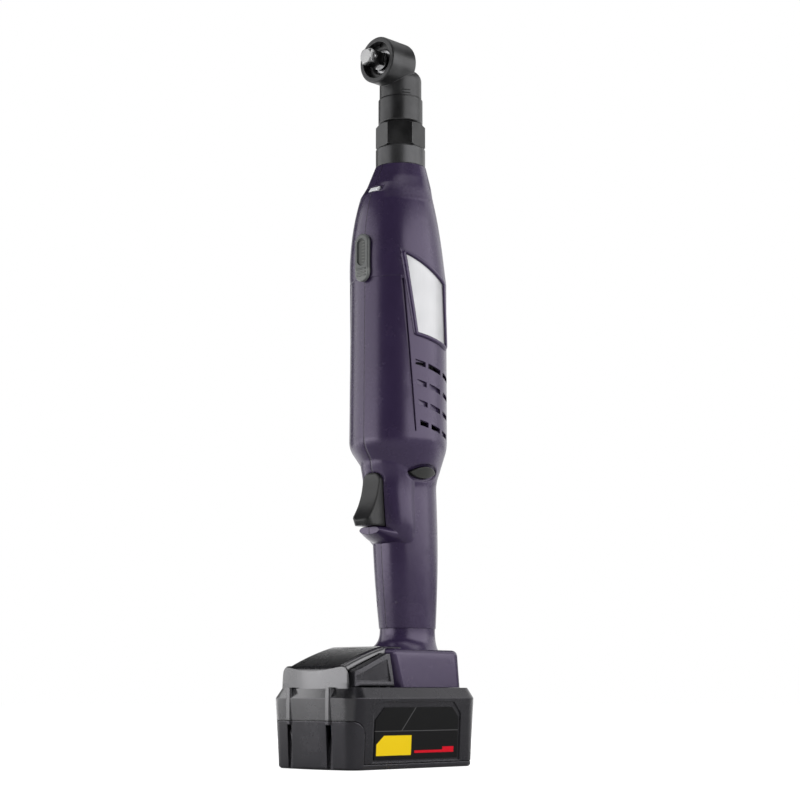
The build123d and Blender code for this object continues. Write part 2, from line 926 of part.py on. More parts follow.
cover_y = front_reach + cover_gap
with BuildPart() as window_cover:
    with BuildSketch(Plane.XZ.offset(cover_y)):
        with Locations((0, cover_low_z + cover_h / 2)):
            SlotOverall(cover_h, cover_width, rotation=90)
    extrude(amount=cover_t)
    fillet(window_cover.faces().sort_by(Axis.Y)[0].edges(), 0.9)
    with BuildSketch(Plane.XZ.offset(cover_y + cover_t)):
        with Locations((0, cover_low_z + cover_h * 0.62)):
            SlotOverall(cover_h * 0.56, cover_width - 4.6, rotation=90)
    extrude(amount=-0.9, mode=Mode.SUBTRACT)
    for step in range(3):
        with BuildSketch(Plane.XZ.offset(cover_y + cover_t - 0.3)):
            with Locations((0, cover_low_z + 4.2 + 2.2 * step)):
                Rectangle(cover_width - 4.4, 0.9)
        extrude(amount=0.8)
    with BuildSketch(Plane.XZ.offset(cover_y)):
        with Locations((0, window_low_z + 1 + tongue_h / 2)):
            SlotOverall(tongue_h, window_width - 1, rotation=90)
    extrude(amount=-wall - cover_gap - flange_gap - flange_t)
    with BuildSketch(Plane.XZ.offset(front_reach - wall - flange_gap)):
        with Locations((0, window_low_z + 1 + tongue_h / 2)):
            Rectangle(window_width + 3, tongue_h - 4)
    extrude(amount=-flange_t)

with BuildPart() as led_lens:
    with BuildSketch(lamp_plane.offset(-lens_room_d - lens_t)):
        Rectangle(2 * lens_half_w, lens_h)
    extrude(amount=lens_room_d + lens_t - lens_sink)
    fillet(led_lens.faces().sort_by(Axis(lamp_plane.origin, lamp_plane.z_dir))[-1].edges(), 0.6)

with BuildPart() as led_board:
    with BuildSketch(lamp_plane.offset(-lens_room_d - lens_t)):
        Rectangle(2 * lens_half_w, lens_h)
    extrude(amount=-led_board_t)

with BuildPart() as controller_board:
    with BuildSketch(Plane.XZ.offset(-board_y)):
        with Locations((0, board_z + board_h / 2)):
            Rectangle(2 * board_half_w, board_h)
    extrude(amount=-board_t)
    for column in (-1, 0, 1):
        for row in (0, 1):
            with BuildSketch(Plane.XZ.offset(-board_y)):
                with Locations((8 * column, board_z + 13 + 15 * row)):
                    Rectangle(5.5, 8)
            extrude(amount=2.2)

board_mid_y = board_y + board_t / 2
with BuildPart() as motor_leads:
    for x in (-6, 0, 6):
        with BuildLine():
            Spline(
                (x, board_mid_y, board_z + board_h),
                (x, lead_y, board_z + board_h + 16),
                tangents=[(0, 0, 1), (0, 0, 1)],
            )
            Line((x, lead_y, board_z + board_h + 16), (x, lead_y, motor_z))
        with BuildSketch(Plane.XY.offset(board_z + board_h)):
            with Locations((x, board_mid_y)):
                Circle(lead_r)
        sweep()

with BuildPart() as battery_leads:
    with BuildSketch(Plane.XY.offset(terminal_top_z)):
        with Locations((-5, board_mid_y), (5, board_mid_y)):
            Circle(lead_r)
    extrude(amount=board_z - terminal_top_z)

# Motor: end plates with bearings, fan, stator with six wound teeth, rotor
motor_rear_plate_blank = turned([
    (bearing_r / 2, motor_z),
    (motor_r, motor_z),
    (motor_r, motor_z + motor_plate_t),
    (bearing_r + seat_gap, motor_z + motor_plate_t),
    (bearing_r + seat_gap, motor_z + motor_plate_t - bearing_w),
    (bearing_r / 2, motor_z + motor_plate_t - bearing_w),
])
with BuildPart() as motor_rear_plate:
    add(motor_rear_plate_blank)
    with BuildSketch(Plane.XY.offset(motor_z)):
        with PolarLocations(lead_y, 5, start_angle=150, angular_range=300):
            Circle(4)
    extrude(amount=motor_plate_t, mode=Mode.SUBTRACT)

motor_front_plate = turned([
    (bearing_r + seat_gap, front_plate_z),
    (motor_r, front_plate_z),
    (motor_r, case_z),
    (bearing_r - 2.5, case_z),
    (bearing_r - 2.5, front_plate_z + bearing_w),
    (bearing_r + seat_gap, front_plate_z + bearing_w),
])

with BuildPart() as rotor_bearings:
    for low in (motor_z + motor_plate_t - bearing_w, front_plate_z):
        with BuildSketch(Plane.XY.offset(low)):
            Circle(bearing_r)
            Circle(shaft_r + run_gap, mode=Mode.SUBTRACT)
        extrude(amount=bearing_w)

with BuildPart() as cooling_fan:
    with BuildSketch(Plane.XY.offset(fan_z)):
        Circle(fan_r)
    extrude(amount=1.5)
    with BuildSketch(Plane.XY.offset(fan_z)):
        Circle(fan_hub_r)
        with PolarLocations((fan_hub_r + fan_r) / 2 - 0.6, fan_blades):
            Rectangle(fan_r - fan_hub_r, 1.2)
    extrude(amount=fan_h)
    with BuildSketch(Plane.XY.offset(fan_z)):
        Circle(shaft_r + seat_gap)
    extrude(amount=fan_h, mode=Mode.SUBTRACT)

slot_low = rotor_r + air_gap + 2
slot_high = motor_r - 4.4
with BuildPart() as motor_stator:
    with BuildSketch(Plane.XY.offset(stator_z)):
        Circle(motor_r)
        Circle(rotor_r + air_gap, mode=Mode.SUBTRACT)
        with PolarLocations(0, stator_teeth, start_angle=180 / stator_teeth):
            Polygon(
                (slot_low, slot_low * tan(pi / stator_teeth) - tooth_half_w),
                (slot_high, slot_high * tan(pi / stator_teeth) - tooth_half_w),
                (slot_high, tooth_half_w - slot_high * tan(pi / stator_teeth)),
                (slot_low, tooth_half_w - slot_low * tan(pi / stator_teeth)),
                align=None,
                mode=Mode.SUBTRACT,
            )
        with PolarLocations(slot_low - 1, stator_teeth, start_angle=180 / stator_teeth):
            Rectangle(4, 2.4, mode=Mode.SUBTRACT)
    extrude(amount=stator_h)

with BuildPart() as stator_windings:
    with BuildSketch(Plane.XY.offset(stator_z - coil_over + 1)):
        with PolarLocations((slot_low + slot_high) / 2 + 0.3, stator_teeth):
            Rectangle(slot_high - slot_low - 1.2, 2 * (tooth_half_w + coil_t))
    extrude(amount=stator_h + 2 * coil_over - 2)
    with BuildSketch(Plane.XY.offset(stator_z - seat_gap)):
        with PolarLocations((slot_low + slot_high) / 2, stator_teeth):
            Rectangle(slot_high - slot_low, 2 * tooth_half_w + 0.2)
    extrude(amount=stator_h + 2 * seat_gap, mode=Mode.SUBTRACT)

with BuildPart() as rotor_core:
    with BuildSketch(Plane.XY.offset(stator_z)):
        Circle(rotor_r)
        Circle(shaft_r + seat_gap, mode=Mode.SUBTRACT)
    extrude(amount=stator_h)

pressure = radians(20)


def involute(angle):
    return tan(angle) - angle


# Outline of a spur gear with straight flanks; play is taken off each tooth's width
def gear_outline(teeth, tip, root, play, phase):
    pitch = gear_module * teeth / 2
    base = pitch * cos(pressure)
    half_pitch = pi / (2 * teeth) - play / (2 * pitch)
    corners = []
    for i in range(teeth):
        middle = phase + 2 * pi * i / teeth
        for step, side in ((-root, -1), (tip, -1), (tip, 1), (-root, 1)):
            radius = pitch + step * gear_module
            half = half_pitch + involute(pressure) - involute(acos(min(1, base / radius)))
            corners.append((radius * cos(middle + side * half), radius * sin(middle + side * half)))
    return corners


sun_outline = gear_outline(sun_teeth, addendum, dedendum, backlash, 0)
planet_outline = gear_outline(planet_teeth, addendum, dedendum, backlash, pi / planet_teeth)
ring_outline = gear_outline(ring_teeth, dedendum, addendum, -backlash, pi / ring_teeth)

with BuildPart() as rotor_shaft:
    with BuildSketch(Plane.XY.offset(motor_z + 0.4)):
        Circle(shaft_r)
    extrude(amount=case_z + 1 - motor_z - 0.4)
    with BuildSketch(Plane.XY.offset(case_z + 0.6)):
        Polygon(*sun_outline, align=None)
    extrude(amount=first_planet_z + planet_h - case_z - 0.6)

with BuildPart() as ring_gear:
    with BuildSketch(Plane.XY.offset(first_planet_z - 1)):
        Circle(ring_r)
        Polygon(*ring_outline, align=None, mode=Mode.SUBTRACT)
    extrude(amount=ring_top_z - first_planet_z + 1)


# Three planets of one stage, each a part of its own
def planet_set(low):
    planets = []
    for i in range(planet_count):
        angle = 360 * i / planet_count
        seat = Plane.XY.offset(low).rotated((0, 0, angle))
        centre = (gear_orbit * cos(radians(angle)), gear_orbit * sin(radians(angle)), low)
        with BuildPart() as planet:
            with BuildSketch(Plane(centre, x_dir=seat.x_dir, z_dir=(0, 0, 1))):
                Polygon(*planet_outline, align=None)
                Circle(planet_pin_r + run_gap, mode=Mode.SUBTRACT)
            extrude(amount=planet_h)
        planets.append(planet.part)
    return planets


first_planets = planet_set(first_planet_z)
second_planets = planet_set(second_planet_z)

with BuildPart() as first_carrier:
    with BuildSketch(Plane.XY.offset(first_plate_z)):
        Circle(carrier_r)
    extrude(amount=carrier_t)
    with BuildSketch(Plane.XY.offset(first_planet_z)):
        with PolarLocations(gear_orbit, planet_count):
            Circle(planet_pin_r)
    extrude(amount=first_plate_z - first_planet_z)
    with BuildSketch(Plane.XY.offset(first_plate_z + carrier_t)):
        Polygon(*sun_outline, align=None)
    extrude(amount=second_planet_z + planet_h - first_plate_z - carrier_t)

stem_top_z = cam_z + cam_t + 0.6
carrier_stem = turned([
    (0, second_plate_z),
    (carrier_r, second_plate_z),
    (carrier_r, second_plate_z + carrier_t),
    (clutch_stem_r, second_plate_z + carrier_t),
    (clutch_stem_r, stem_top_z),
    (pilot_pin_r, stem_top_z),
    (pilot_pin_r, flange_z + output_flange_t),
    (0, flange_z + output_flange_t),
])
with BuildPart() as second_carrier:
    add(carrier_stem)
    with BuildSketch(Plane.XY.offset(second_planet_z)):
        with PolarLocations(gear_orbit, planet_count):
            Circle(planet_pin_r)
    extrude(amount=second_plate_z - second_planet_z)

with BuildPart() as clutch_nut:
    with BuildSketch(Plane.XY.offset(clutch_nut_z)):
        Circle(clutch_nut_r)
        Circle(clutch_stem_r + seat_gap, mode=Mode.SUBTRACT)
        with PolarLocations(clutch_nut_r, 12):
            Rectangle(3, 2.4, mode=Mode.SUBTRACT)
    extrude(amount=clutch_nut_h)

clutch_spring = coil(
    (0, 0, clutch_nut_z + clutch_nut_h + spring_wire_r),
    (0, 0, 1),
    spring_r,
    spring_wire_r,
    spring_h - 2 * spring_wire_r,
    spring_turns,
)

ball_z = cam_z + cam_t + cam_gap / 2
with BuildPart() as clutch_balls:
    with PolarLocations(ball_orbit, ball_count):
        with Locations((0, 0, ball_z)):
            Sphere(ball_r)

with BuildPart() as clutch_cam:
    with BuildSketch(Plane.XY.offset(cam_z)):
        Circle(cam_r)
        Circle(clutch_stem_r + seat_gap, mode=Mode.SUBTRACT)
    extrude(amount=cam_t)
    with PolarLocations(ball_orbit, ball_count):
        with Locations((0, 0, ball_z)):
            Sphere(ball_r + seat_gap, mode=Mode.SUBTRACT)


# Outline of the sliding spline, grown by margin
def spline_outline(margin):
    corners = []
    for i in range(spline_teeth):
        middle = 2 * pi * i / spline_teeth
        for radius, share in ((spline_r - spline_depth, 0.32), (spline_r, 0.16)):
            half = 2 * pi * share / spline_teeth + margin / radius
            corners.append((radius + margin, middle, half))
    outline = []
    for low, high in zip(corners[0::2], corners[1::2]):
        for radius, middle, half in (
            (low[0], low[1], -low[2]),
            (high[0], high[1], -high[2]),
            (high[0], high[1], high[2]),
            (low[0], low[1], low[2]),
        ):
            outline.append((radius * cos(middle + half), radius * sin(middle + half)))
    return outline


output_top_z = collar_z - 4
clutch_output = turned([
    (pilot_pin_r + seat_gap, flange_z),
    (clutch_nut_r, flange_z),
    (clutch_nut_r, flange_z + output_flange_t),
    (output_r, flange_z + output_flange_t),
    (output_r, output_top_z),
    (0, output_top_z),
    (0, flange_z + output_flange_t + seat_gap),
    (pilot_pin_r + seat_gap, flange_z + output_flange_t + seat_gap),
])
with BuildPart() as clutch_shaft:
    add(clutch_output)
    with PolarLocations(ball_orbit, ball_count):
        with Locations((0, 0, ball_z)):
            Sphere(ball_r + seat_gap, mode=Mode.SUBTRACT)
    with BuildSketch(Plane.XY.offset(output_top_z)):
        Polygon(*spline_outline(spline_gap), align=None)
    extrude(amount=-spline_h, mode=Mode.SUBTRACT)

with BuildPart() as clutch_bearing:
    with BuildSketch(Plane.XY.offset(output_bearing_z)):
        Circle(output_bearing_r)
        Circle(output_r + run_gap, mode=Mode.SUBTRACT)
    extrude(amount=output_bearing_w)

pilot_low_z = collar_z + spigot_h - pilot_h
bearing_top_z = output_bearing_z + output_bearing_w
gear_case_blank = turned([
    (case_r, case_z),
    (case_r, ring_top_z + 4),
    (clutch_case_r, ring_top_z + 8.5),
    (clutch_case_r, bearing_top_z - 3.3),
    (case_neck_r, bearing_top_z + 3.4),
    (case_neck_r, nose_z),
    (collar_r - 0.6, nose_z),
    (collar_r, nose_z + 0.6),
    (collar_r, collar_z - 1.2),
    (collar_r - 1.2, collar_z),
    (spigot_r, collar_z),
    (spigot_r, collar_z + spigot_h),
    (pilot_r + run_gap, collar_z + spigot_h),
    (pilot_r + run_gap, pilot_low_z - 0.5),
    (pilot_r - 0.8, pilot_low_z - 0.5),
    (pilot_r - 0.8, bearing_top_z),
    (output_bearing_r + seat_gap, bearing_top_z),
    (output_bearing_r + seat_gap, output_bearing_z),
    (clutch_bore_r, output_bearing_z),
    (clutch_bore_r, ring_top_z),
    (ring_r + seat_gap, ring_top_z),
    (ring_r + seat_gap, case_z),
])
with BuildPart() as gear_case:
    add(gear_case_blank)
    with BuildSketch(Plane.XZ.offset(clutch_bore_r - 4)):
        with Locations((0, clutch_nut_z + clutch_nut_h / 2)):
            SlotOverall(clutch_nut_h + 8, 9, rotation=90)
    extrude(amount=12, mode=Mode.SUBTRACT)

# Angle head
tail_z = collar_z + spigot_h + face_gap
sleeve_low_z = nut_z + slide_gap
nut_lip_z = nut_z - nut_lip_t
nut_bores = turned([
    (0, collar_z - 1),
    (spigot_r + run_gap, collar_z - 1),
    (spigot_r + run_gap, nut_lip_z),
    (tail_r + face_gap, nut_lip_z),
    (tail_r + face_gap, nut_z + 1),
    (0, nut_z + 1),
])
nut_envelope = turned([
    (0, collar_z + nut_gap),
    (nut_corner_r - 1.0, collar_z + nut_gap),
    (nut_corner_r, collar_z + nut_gap + 0.8),
    (nut_corner_r, nut_z - 1.6),
    (nut_corner_r - 2.4, nut_z),
    (0, nut_z),
])
with BuildPart() as lock_nut:
    with BuildSketch(Plane.XY.offset(collar_z + nut_gap)):
        RegularPolygon(nut_corner_r, 6, rotation=nut_turn)
    extrude(amount=lock_nut_h - nut_gap)
    add(nut_envelope, mode=Mode.INTERSECT)
    add(nut_bores, mode=Mode.SUBTRACT)

with BuildPart() as head_clip:
    with BuildSketch(Plane.XY.offset(nut_lip_z - clip_t - face_gap)):
        Circle(clip_r)
        Circle(tail_r + seat_gap, mode=Mode.SUBTRACT)
    extrude(amount=clip_t)

dome_z = head_z - dome_drop
low_bearing_z = tail_z + 1.5
high_bearing_z = sleeve_z + 2
with BuildPart() as head_blank:
    with BuildSketch(Plane.XZ):
        with BuildLine():
            Polyline(
                (0, dome_z),
                (0, pilot_low_z),
                (pilot_r, pilot_low_z),
                (pilot_r, tail_z),
                (tail_r, tail_z),
                (tail_r, sleeve_low_z),
                (head_sleeve_r - 0.8, sleeve_low_z),
                (head_sleeve_r, sleeve_low_z + 0.8),
                (head_sleeve_r, sleeve_z - 1.0),
                (head_neck_r, sleeve_z),
                (head_neck_r, dome_z - dome_r),
            )
            ThreePointArc(
                (head_neck_r, dome_z - dome_r),
                (head_neck_r - dome_r + dome_r * cos(pi / 4), dome_z - dome_r + dome_r * sin(pi / 4)),
                (head_neck_r - dome_r, dome_z),
            )
            Line((head_neck_r - dome_r, dome_z), (0, dome_z))
        make_face()
    revolve(axis=Axis.Z)
    with BuildSketch(Plane.YZ):
        with BuildLine():
            Polyline(
                (head_back_y - head_back_r, head_z + head_r),
                (head_face_y + 0.8, head_z + head_r),
                (head_face_y, head_z + head_r - 0.8),
                (head_face_y, head_z),
                (head_back_y, head_z),
                (head_back_y, head_z + head_r - head_back_r),
            )
            ThreePointArc(
                (head_back_y, head_z + head_r - head_back_r),
                (
                    head_back_y - head_back_r + head_back_r * cos(pi / 4),
                    head_z + head_r - head_back_r + head_back_r * sin(pi / 4),
                ),
                (head_back_y - head_back_r, head_z + head_r),
            )
        make_face()
    revolve(axis=Axis((0, 0, head_z), (0, 1, 0)))

bearing_back_y = -bevel_module * pinion_teeth / 2 - bevel_back
bearing_front_y = bearing_back_y - spindle_bearing_w
ring_back_y = bearing_front_y - face_gap
ring_front_y = ring_back_y - head_ring_t
head_shaft_bore = turned([
    (0, pilot_low_z - 1),
    (spline_r + 1, pilot_low_z - 1),
    (spline_r + 1, low_bearing_z),
    (pinion_bearing_r + seat_gap, low_bearing_z),
    (pinion_bearing_r + seat_gap, head_z - 8),
    (spline_r + 1.4, head_z - 4.8),
    (0, head_z - 4.8),
])
head_drive_bore = turned_head([
    (journal_back_y, 0),
    (journal_back_y, journal_r + run_gap),
    (bevel_room_y, journal_r + run_gap),
    (bevel_room_y, bevel_room_r),
    (bearing_back_y, bevel_room_r),
    (bearing_back_y, spindle_bearing_r + seat_gap),
    (bearing_front_y, spindle_bearing_r + seat_gap),
    (bearing_front_y, head_ring_r + seat_gap),
    (head_face_y - 1, head_ring_r + seat_gap),
    (head_face_y - 1, 0),
])
with BuildPart() as head_housing:
    add(head_blank.part)
    add(head_shaft_bore, mode=Mode.SUBTRACT)
    add(head_drive_bore, mode=Mode.SUBTRACT)

with BuildPart() as pinion_bearings:
    for low in (low_bearing_z, high_bearing_z):
        with BuildSketch(Plane.XY.offset(low)):
            Circle(pinion_bearing_r)
            Circle(pinion_shaft_r + run_gap, mode=Mode.SUBTRACT)
        extrude(amount=pinion_bearing_w)

spindle_bearing = turned_head([
    (bearing_back_y, spindle_r + run_gap),
    (bearing_back_y, spindle_bearing_r),
    (bearing_front_y, spindle_bearing_r),
    (bearing_front_y, spindle_r + run_gap),
])

head_ring_blank = turned_head([
    (ring_back_y, ring_hole_r),
    (ring_back_y, head_ring_r),
    (ring_front_y, head_ring_r),
    (ring_front_y, ring_hole_r + 1.2),
    (ring_front_y + 0.8, ring_hole_r),
])
with BuildPart() as head_ring:
    add(head_ring_blank)
    with BuildSketch(Plane.XZ.offset(-ring_front_y)):
        with Locations((0, head_z)):
            with PolarLocations(head_ring_r - 0.8, 4):
                Rectangle(2.6, 3.0)
    extrude(amount=-1.2, mode=Mode.SUBTRACT)

cone_length = hypot(bevel_module * pinion_teeth / 2, bevel_module * bevel_teeth / 2)
pinion_cone = atan(pinion_teeth / bevel_teeth)
bevel_cone = pi / 2 - pinion_cone


# Section of a bevel gear across its axis, at a distance from the apex of its cone
def bevel_outline(teeth, cone, height, phase, rise):
    virtual_pitch = bevel_module * teeth / cos(cone) / 2
    base = virtual_pitch * cos(pressure)
    half_pitch = pi * cos(cone) / (2 * teeth) - bevel_backlash / (2 * virtual_pitch)
    corners = []
    for i in range(teeth):
        middle = phase + 2 * pi * i / teeth
        for step, side in ((-dedendum, -1), (addendum, -1), (addendum, 1), (-dedendum, 1)):
            across = step * bevel_module
            radius = height * tan(cone + across / cone_length)
            flank = involute(acos(min(1, base / (virtual_pitch + across))))
            half = (half_pitch + involute(pressure) - flank) / cos(cone)
            angle = middle + side * half
            corners.append((radius * cos(angle), rise + radius * sin(angle)))
    return corners


toe = (cone_length - bevel_face) / cone_length
pinion_height = bevel_module * bevel_teeth / 2
gear_height = bevel_module * pinion_teeth / 2
pinion_shaft = turned([
    (0, tail_z),
    (pinion_shaft_r, tail_z),
    (pinion_shaft_r, high_bearing_z + pinion_bearing_w + 0.3),
    (pinion_hub_r, high_bearing_z + pinion_bearing_w + 0.3),
    (pinion_hub_r, head_z - pinion_height - pinion_cone_h),
    (pinion_root_r, head_z - pinion_height),
    (0, head_z - pinion_height),
])
with BuildPart() as bevel_pinion:
    for height in (pinion_height, pinion_height * toe):
        with BuildSketch(Plane.XY.offset(head_z - height)):
            Polygon(*bevel_outline(pinion_teeth, pinion_cone, height, -pi / 2, 0), align=None)
    loft(ruled=True)
    add(pinion_shaft)
    with BuildSketch(Plane.XY.offset(output_top_z - spline_h + 0.6)):
        Polygon(*spline_outline(0), align=None)
    extrude(amount=tail_z - output_top_z + spline_h - 0.6)

bevel_hub = turned_head([
    (-gear_height, 0),
    (-gear_height, bevel_root_r),
    (-gear_height - 1.4, bevel_root_r + 0.6),
    (bearing_back_y + face_gap, bevel_root_r + 0.6),
    (bearing_back_y + face_gap, 0),
])
bevel_bore = turned_head([
    (0, 0),
    (0, spindle_seat_r + seat_gap),
    (bearing_back_y - 1, spindle_seat_r + seat_gap),
    (bearing_back_y - 1, 0),
])
with BuildPart() as bevel_gear:
    for height in (gear_height, gear_height * toe):
        with BuildSketch(Plane.XZ.offset(height)):
            outline = bevel_outline(bevel_teeth, bevel_cone, height, pi / bevel_teeth - pi / 2, head_z)
            Polygon(*outline, align=None)
    loft(ruled=True)
    add(bevel_hub)
    add(bevel_bore, mode=Mode.SUBTRACT)

square_back_y = ring_front_y - 1.6
square_front_y = head_face_y - square_stand
spindle_blank = turned_head([
    (journal_back_y - 0.2, 0),
    (journal_back_y - 0.2, journal_r),
    (-gear_height * toe, journal_r),
    (-gear_height * toe, spindle_seat_r),
    (bearing_back_y + face_gap, spindle_seat_r),
    (bearing_back_y + face_gap, spindle_r + 1.4),
    (bearing_back_y + face_gap / 2, spindle_r + 1.4),
    (bearing_back_y + face_gap / 2, spindle_r),
    (bearing_front_y - face_gap / 2, spindle_r),
    (bearing_front_y - face_gap / 2, drive_collar_r),
    (square_back_y, drive_collar_r),
    (square_back_y, 0),
])
square_envelope = turned_head([
    (square_back_y + 1, 0),
    (square_back_y + 1, square_corner_r),
    (square_front_y + 1.2, square_corner_r),
    (square_front_y, square_corner_r - 1.5),
    (square_front_y, 0),
])
with BuildPart() as square_end:
    with BuildSketch(Plane.XZ.offset(-square_back_y - 1)):
        with Locations((0, head_z)):
            Rectangle(square_side, square_side)
    extrude(amount=square_back_y + 1 - square_front_y)
    add(square_envelope, mode=Mode.INTERSECT)

detent_x = square_side / 2 - detent_r * 0.45
detent_y = square_front_y + square_stand * 0.45
with BuildPart() as drive_spindle:
    add(spindle_blank)
    add(square_end.part)
    with BuildSketch(Plane.YZ):
        with Locations((detent_y, head_z)):
            Circle(detent_r + run_gap)
    extrude(amount=square_side, mode=Mode.SUBTRACT)

with BuildPart() as detent_ball:
    with Locations((detent_x, detent_y, head_z)):
        Sphere(detent_r)

# Battery foot


# Heights of the foot block's sections and how far the rounded top edge sets each one in
foot_levels = [(foot_z, 0)]
for i in range(foot_edge_steps + 1):
    angle = pi / 2 * i / foot_edge_steps
    foot_levels.append((shoulder_z - foot_edge_r * (1 - sin(angle)), foot_edge_r * (1 - cos(angle))))


# Foot block with a curved, slanted front, grown by margin
def foot_form(margin):
    with BuildPart() as form:
        for z, inset in foot_levels:
            share = (z - foot_z) / foot_h
            half = foot_half_w - foot_draft * share + margin - inset
            front = foot_front_y + foot_slant * (1 - share) - margin + inset
            nose = foot_nose_y + foot_slant * (1 - share) - margin + inset
            back = foot_back_y - foot_draft * share + margin - inset
            with BuildSketch(Plane.XY.offset(z - margin if z == foot_z else z + margin)):
                with BuildLine():
                    ThreePointArc((half, front), (0, nose), (-half, front))
                    Polyline((-half, front), (-half, back), (half, back), (half, front))
                make_face()
                fillet(vertices().group_by(Axis.Y)[-1], foot_corner_r - inset)
                fillet(vertices().group_by(Axis.Y)[0], foot_edge_r + 0.6 - inset)
        loft(ruled=True)
    return form.part


foot_blank = foot_form(0)
foot_room = foot_form(hump_gap)
foot_wall_room = foot_form(hump_gap + pack_wall)
with BuildPart() as foot_neck:
    for i in range(foot_neck_sections + 1):
        share = i / foot_neck_sections
        flare = foot_flare * (1 - share)**3
        with BuildSketch(Plane.XY.offset(shoulder_z - 1 + (foot_neck_h + 1) * share)):
            with Locations((0, grip_offset - 0.85 * flare)):
                Ellipse(grip_width / 2 - 0.5 + flare, grip_depth / 2 - 0.5 + flare)
    loft()

with BuildPart() as battery_foot:
    add(foot_blank)
    add(foot_neck.part)
    with BuildSketch(Plane.XY.offset(seam_z)):
        with Locations((0, grip_offset)):
            Ellipse(grip_width / 2 - wall - 0.1, grip_depth / 2 - wall - 0.1)
    extrude(amount=foot_spigot_h)
    for z, half, height in (
        (foot_z, rail_neck_half_w, rail_neck_h + 1),
        (rail_low_z, rail_half_w, foot_roof_z - rail_low_z),
    ):
        with BuildSketch(Plane.XY.offset(z)):
            with Locations((0, (rail_back_y + slide_gap + foot_nose_y - 10) / 2)):
                Rectangle(2 * (half + slide_gap), rail_back_y + slide_gap - foot_nose_y + 10)
        extrude(amount=height, mode=Mode.SUBTRACT)
    with BuildSketch(Plane.XY.offset(foot_roof_z)):
        with Locations((0, terminal_y)):
            Rectangle(2 * terminal_half_w + 2 * seat_gap, terminal_depth + 2 * seat_gap)
    extrude(amount=terminal_top_z - foot_roof_z, mode=Mode.SUBTRACT)
    with BuildSketch(Plane.XY.offset(terminal_top_z - 1)):
        with Locations((0, grip_offset)):
            Ellipse(foot_channel_r, foot_channel_r + 2)
    extrude(amount=seam_z + foot_spigot_h - terminal_top_z + 2, mode=Mode.SUBTRACT)

with BuildPart() as terminal_block:
    with BuildSketch(Plane.XY.offset(foot_roof_z)):
        with Locations((0, terminal_y)):
            Rectangle(2 * terminal_half_w, terminal_depth)
    extrude(amount=terminal_top_z - foot_roof_z)

with BuildPart() as terminal_blades:
    with BuildSketch(Plane.XY.offset(foot_roof_z)):
        with Locations(*[(x, terminal_y) for x in blade_places]):
            Rectangle(blade_t, terminal_depth - 8)
    extrude(amount=-blade_h)


# Battery pack: plan outlines at heights, joined by straight walls
def pack_form(levels):
    with BuildPart() as form:
        for z, grow in levels:
            half = pack_half_w + grow
            front = pack_front_y - grow
            back = pack_back_y + grow
            with BuildSketch(Plane.XY.offset(z)):
                with BuildLine():
                    ThreePointArc((half, front + pack_crown), (0, front), (-half, front + pack_crown))
                    Polyline(
                        (-half, front + pack_crown),
                        (-half, back),
                        (half, back),
                        (half, front + pack_crown),
                    )
                make_face()
                fillet(vertices(), pack_corner_r + grow)
        loft(ruled=True)
    return form.part


deck_slope = (pack_flare + deck_inset) / deck_h
pack_outer = pack_form([
    (0, -1.2),
    (1.2, 0),
    (crease_z, pack_flare),
    (deck_z, -deck_inset),
])
pack_inner = pack_form([
    (pack_wall, pack_slope * pack_wall - pack_wall),
    (crease_z, pack_flare - pack_wall),
    (deck_z - pack_wall, pack_flare - deck_slope * (deck_h - pack_wall) - pack_wall),
])
pack_under_skin = pack_form([
    (-1, -1.2 - groove_d),
    (1.2, -groove_d),
    (crease_z, pack_flare - groove_d),
    (deck_z + 1, -deck_inset - groove_d),
])


# Region of the lower case: front cap and bottom tray, grown by margin
def seam_prism(margin):
    with BuildPart() as prism:
        with BuildSketch(Plane.YZ):
            with BuildLine():
                Polyline(
                    (seam_y - seam_r, pack_seam_h + margin),
                    (pack_front_y - 20, pack_seam_h + margin),
                    (pack_front_y - 20, -5),
                    (pack_back_y + 20, -5),
                    (pack_back_y + 20, tray_h + margin),
                    (seam_y + margin, tray_h + margin),
                    (seam_y + margin, pack_seam_h - seam_r),
                )
                ThreePointArc(
                    (seam_y + margin, pack_seam_h - seam_r),
                    (
                        seam_y - seam_r + (seam_r + margin) * cos(pi / 4),
                        pack_seam_h - seam_r + (seam_r + margin) * sin(pi / 4),
                    ),
                    (seam_y - seam_r, pack_seam_h + margin),
                )
            make_face()
        extrude(amount=pack_half_w + 10, both=True)
    return prism.part


lower_region = seam_prism(0)
seam_wide = seam_prism(groove_d / 2)
seam_narrow = seam_prism(-groove_d / 2)
with BuildPart() as seam_groove:
    add(seam_wide)
    add(seam_narrow, mode=Mode.SUBTRACT)
    add(pack_under_skin, mode=Mode.SUBTRACT)


# Block with a crowned top over the pack's deck, front to back, set in by inset
def hump_form(inset, front_y, floor_z, half_w=hump_half_w):
    back_y = foot_front_y + 14
    brow_z = hump_front_z - inset
    peak_z = hump_peak_z - inset
    with BuildPart() as form:
        with BuildSketch(Plane.YZ):
            with BuildLine():
                ThreePointArc(
                    (front_y, brow_z),
                    ((front_y + hump_peak_y) / 2, (brow_z + peak_z) / 2 + hump_crown),
                    (hump_peak_y, peak_z),
                )
                Polyline(
                    (hump_peak_y, peak_z),
                    (back_y, peak_z),
                    (back_y, floor_z),
                    (front_y, floor_z),
                    (front_y, brow_z),
                )
            make_face()
        extrude(amount=half_w - inset, both=True)
    return form.part


hump_outer = hump_form(0, pack_front_y + 1, deck_z - 1)
hump_inner = hump_form(pack_wall, pack_front_y + 7, deck_z + 0.8)
hump_plan = pack_form([(deck_z - 2, 0.5 - deck_inset), (hump_peak_z + 2, -deck_inset)])

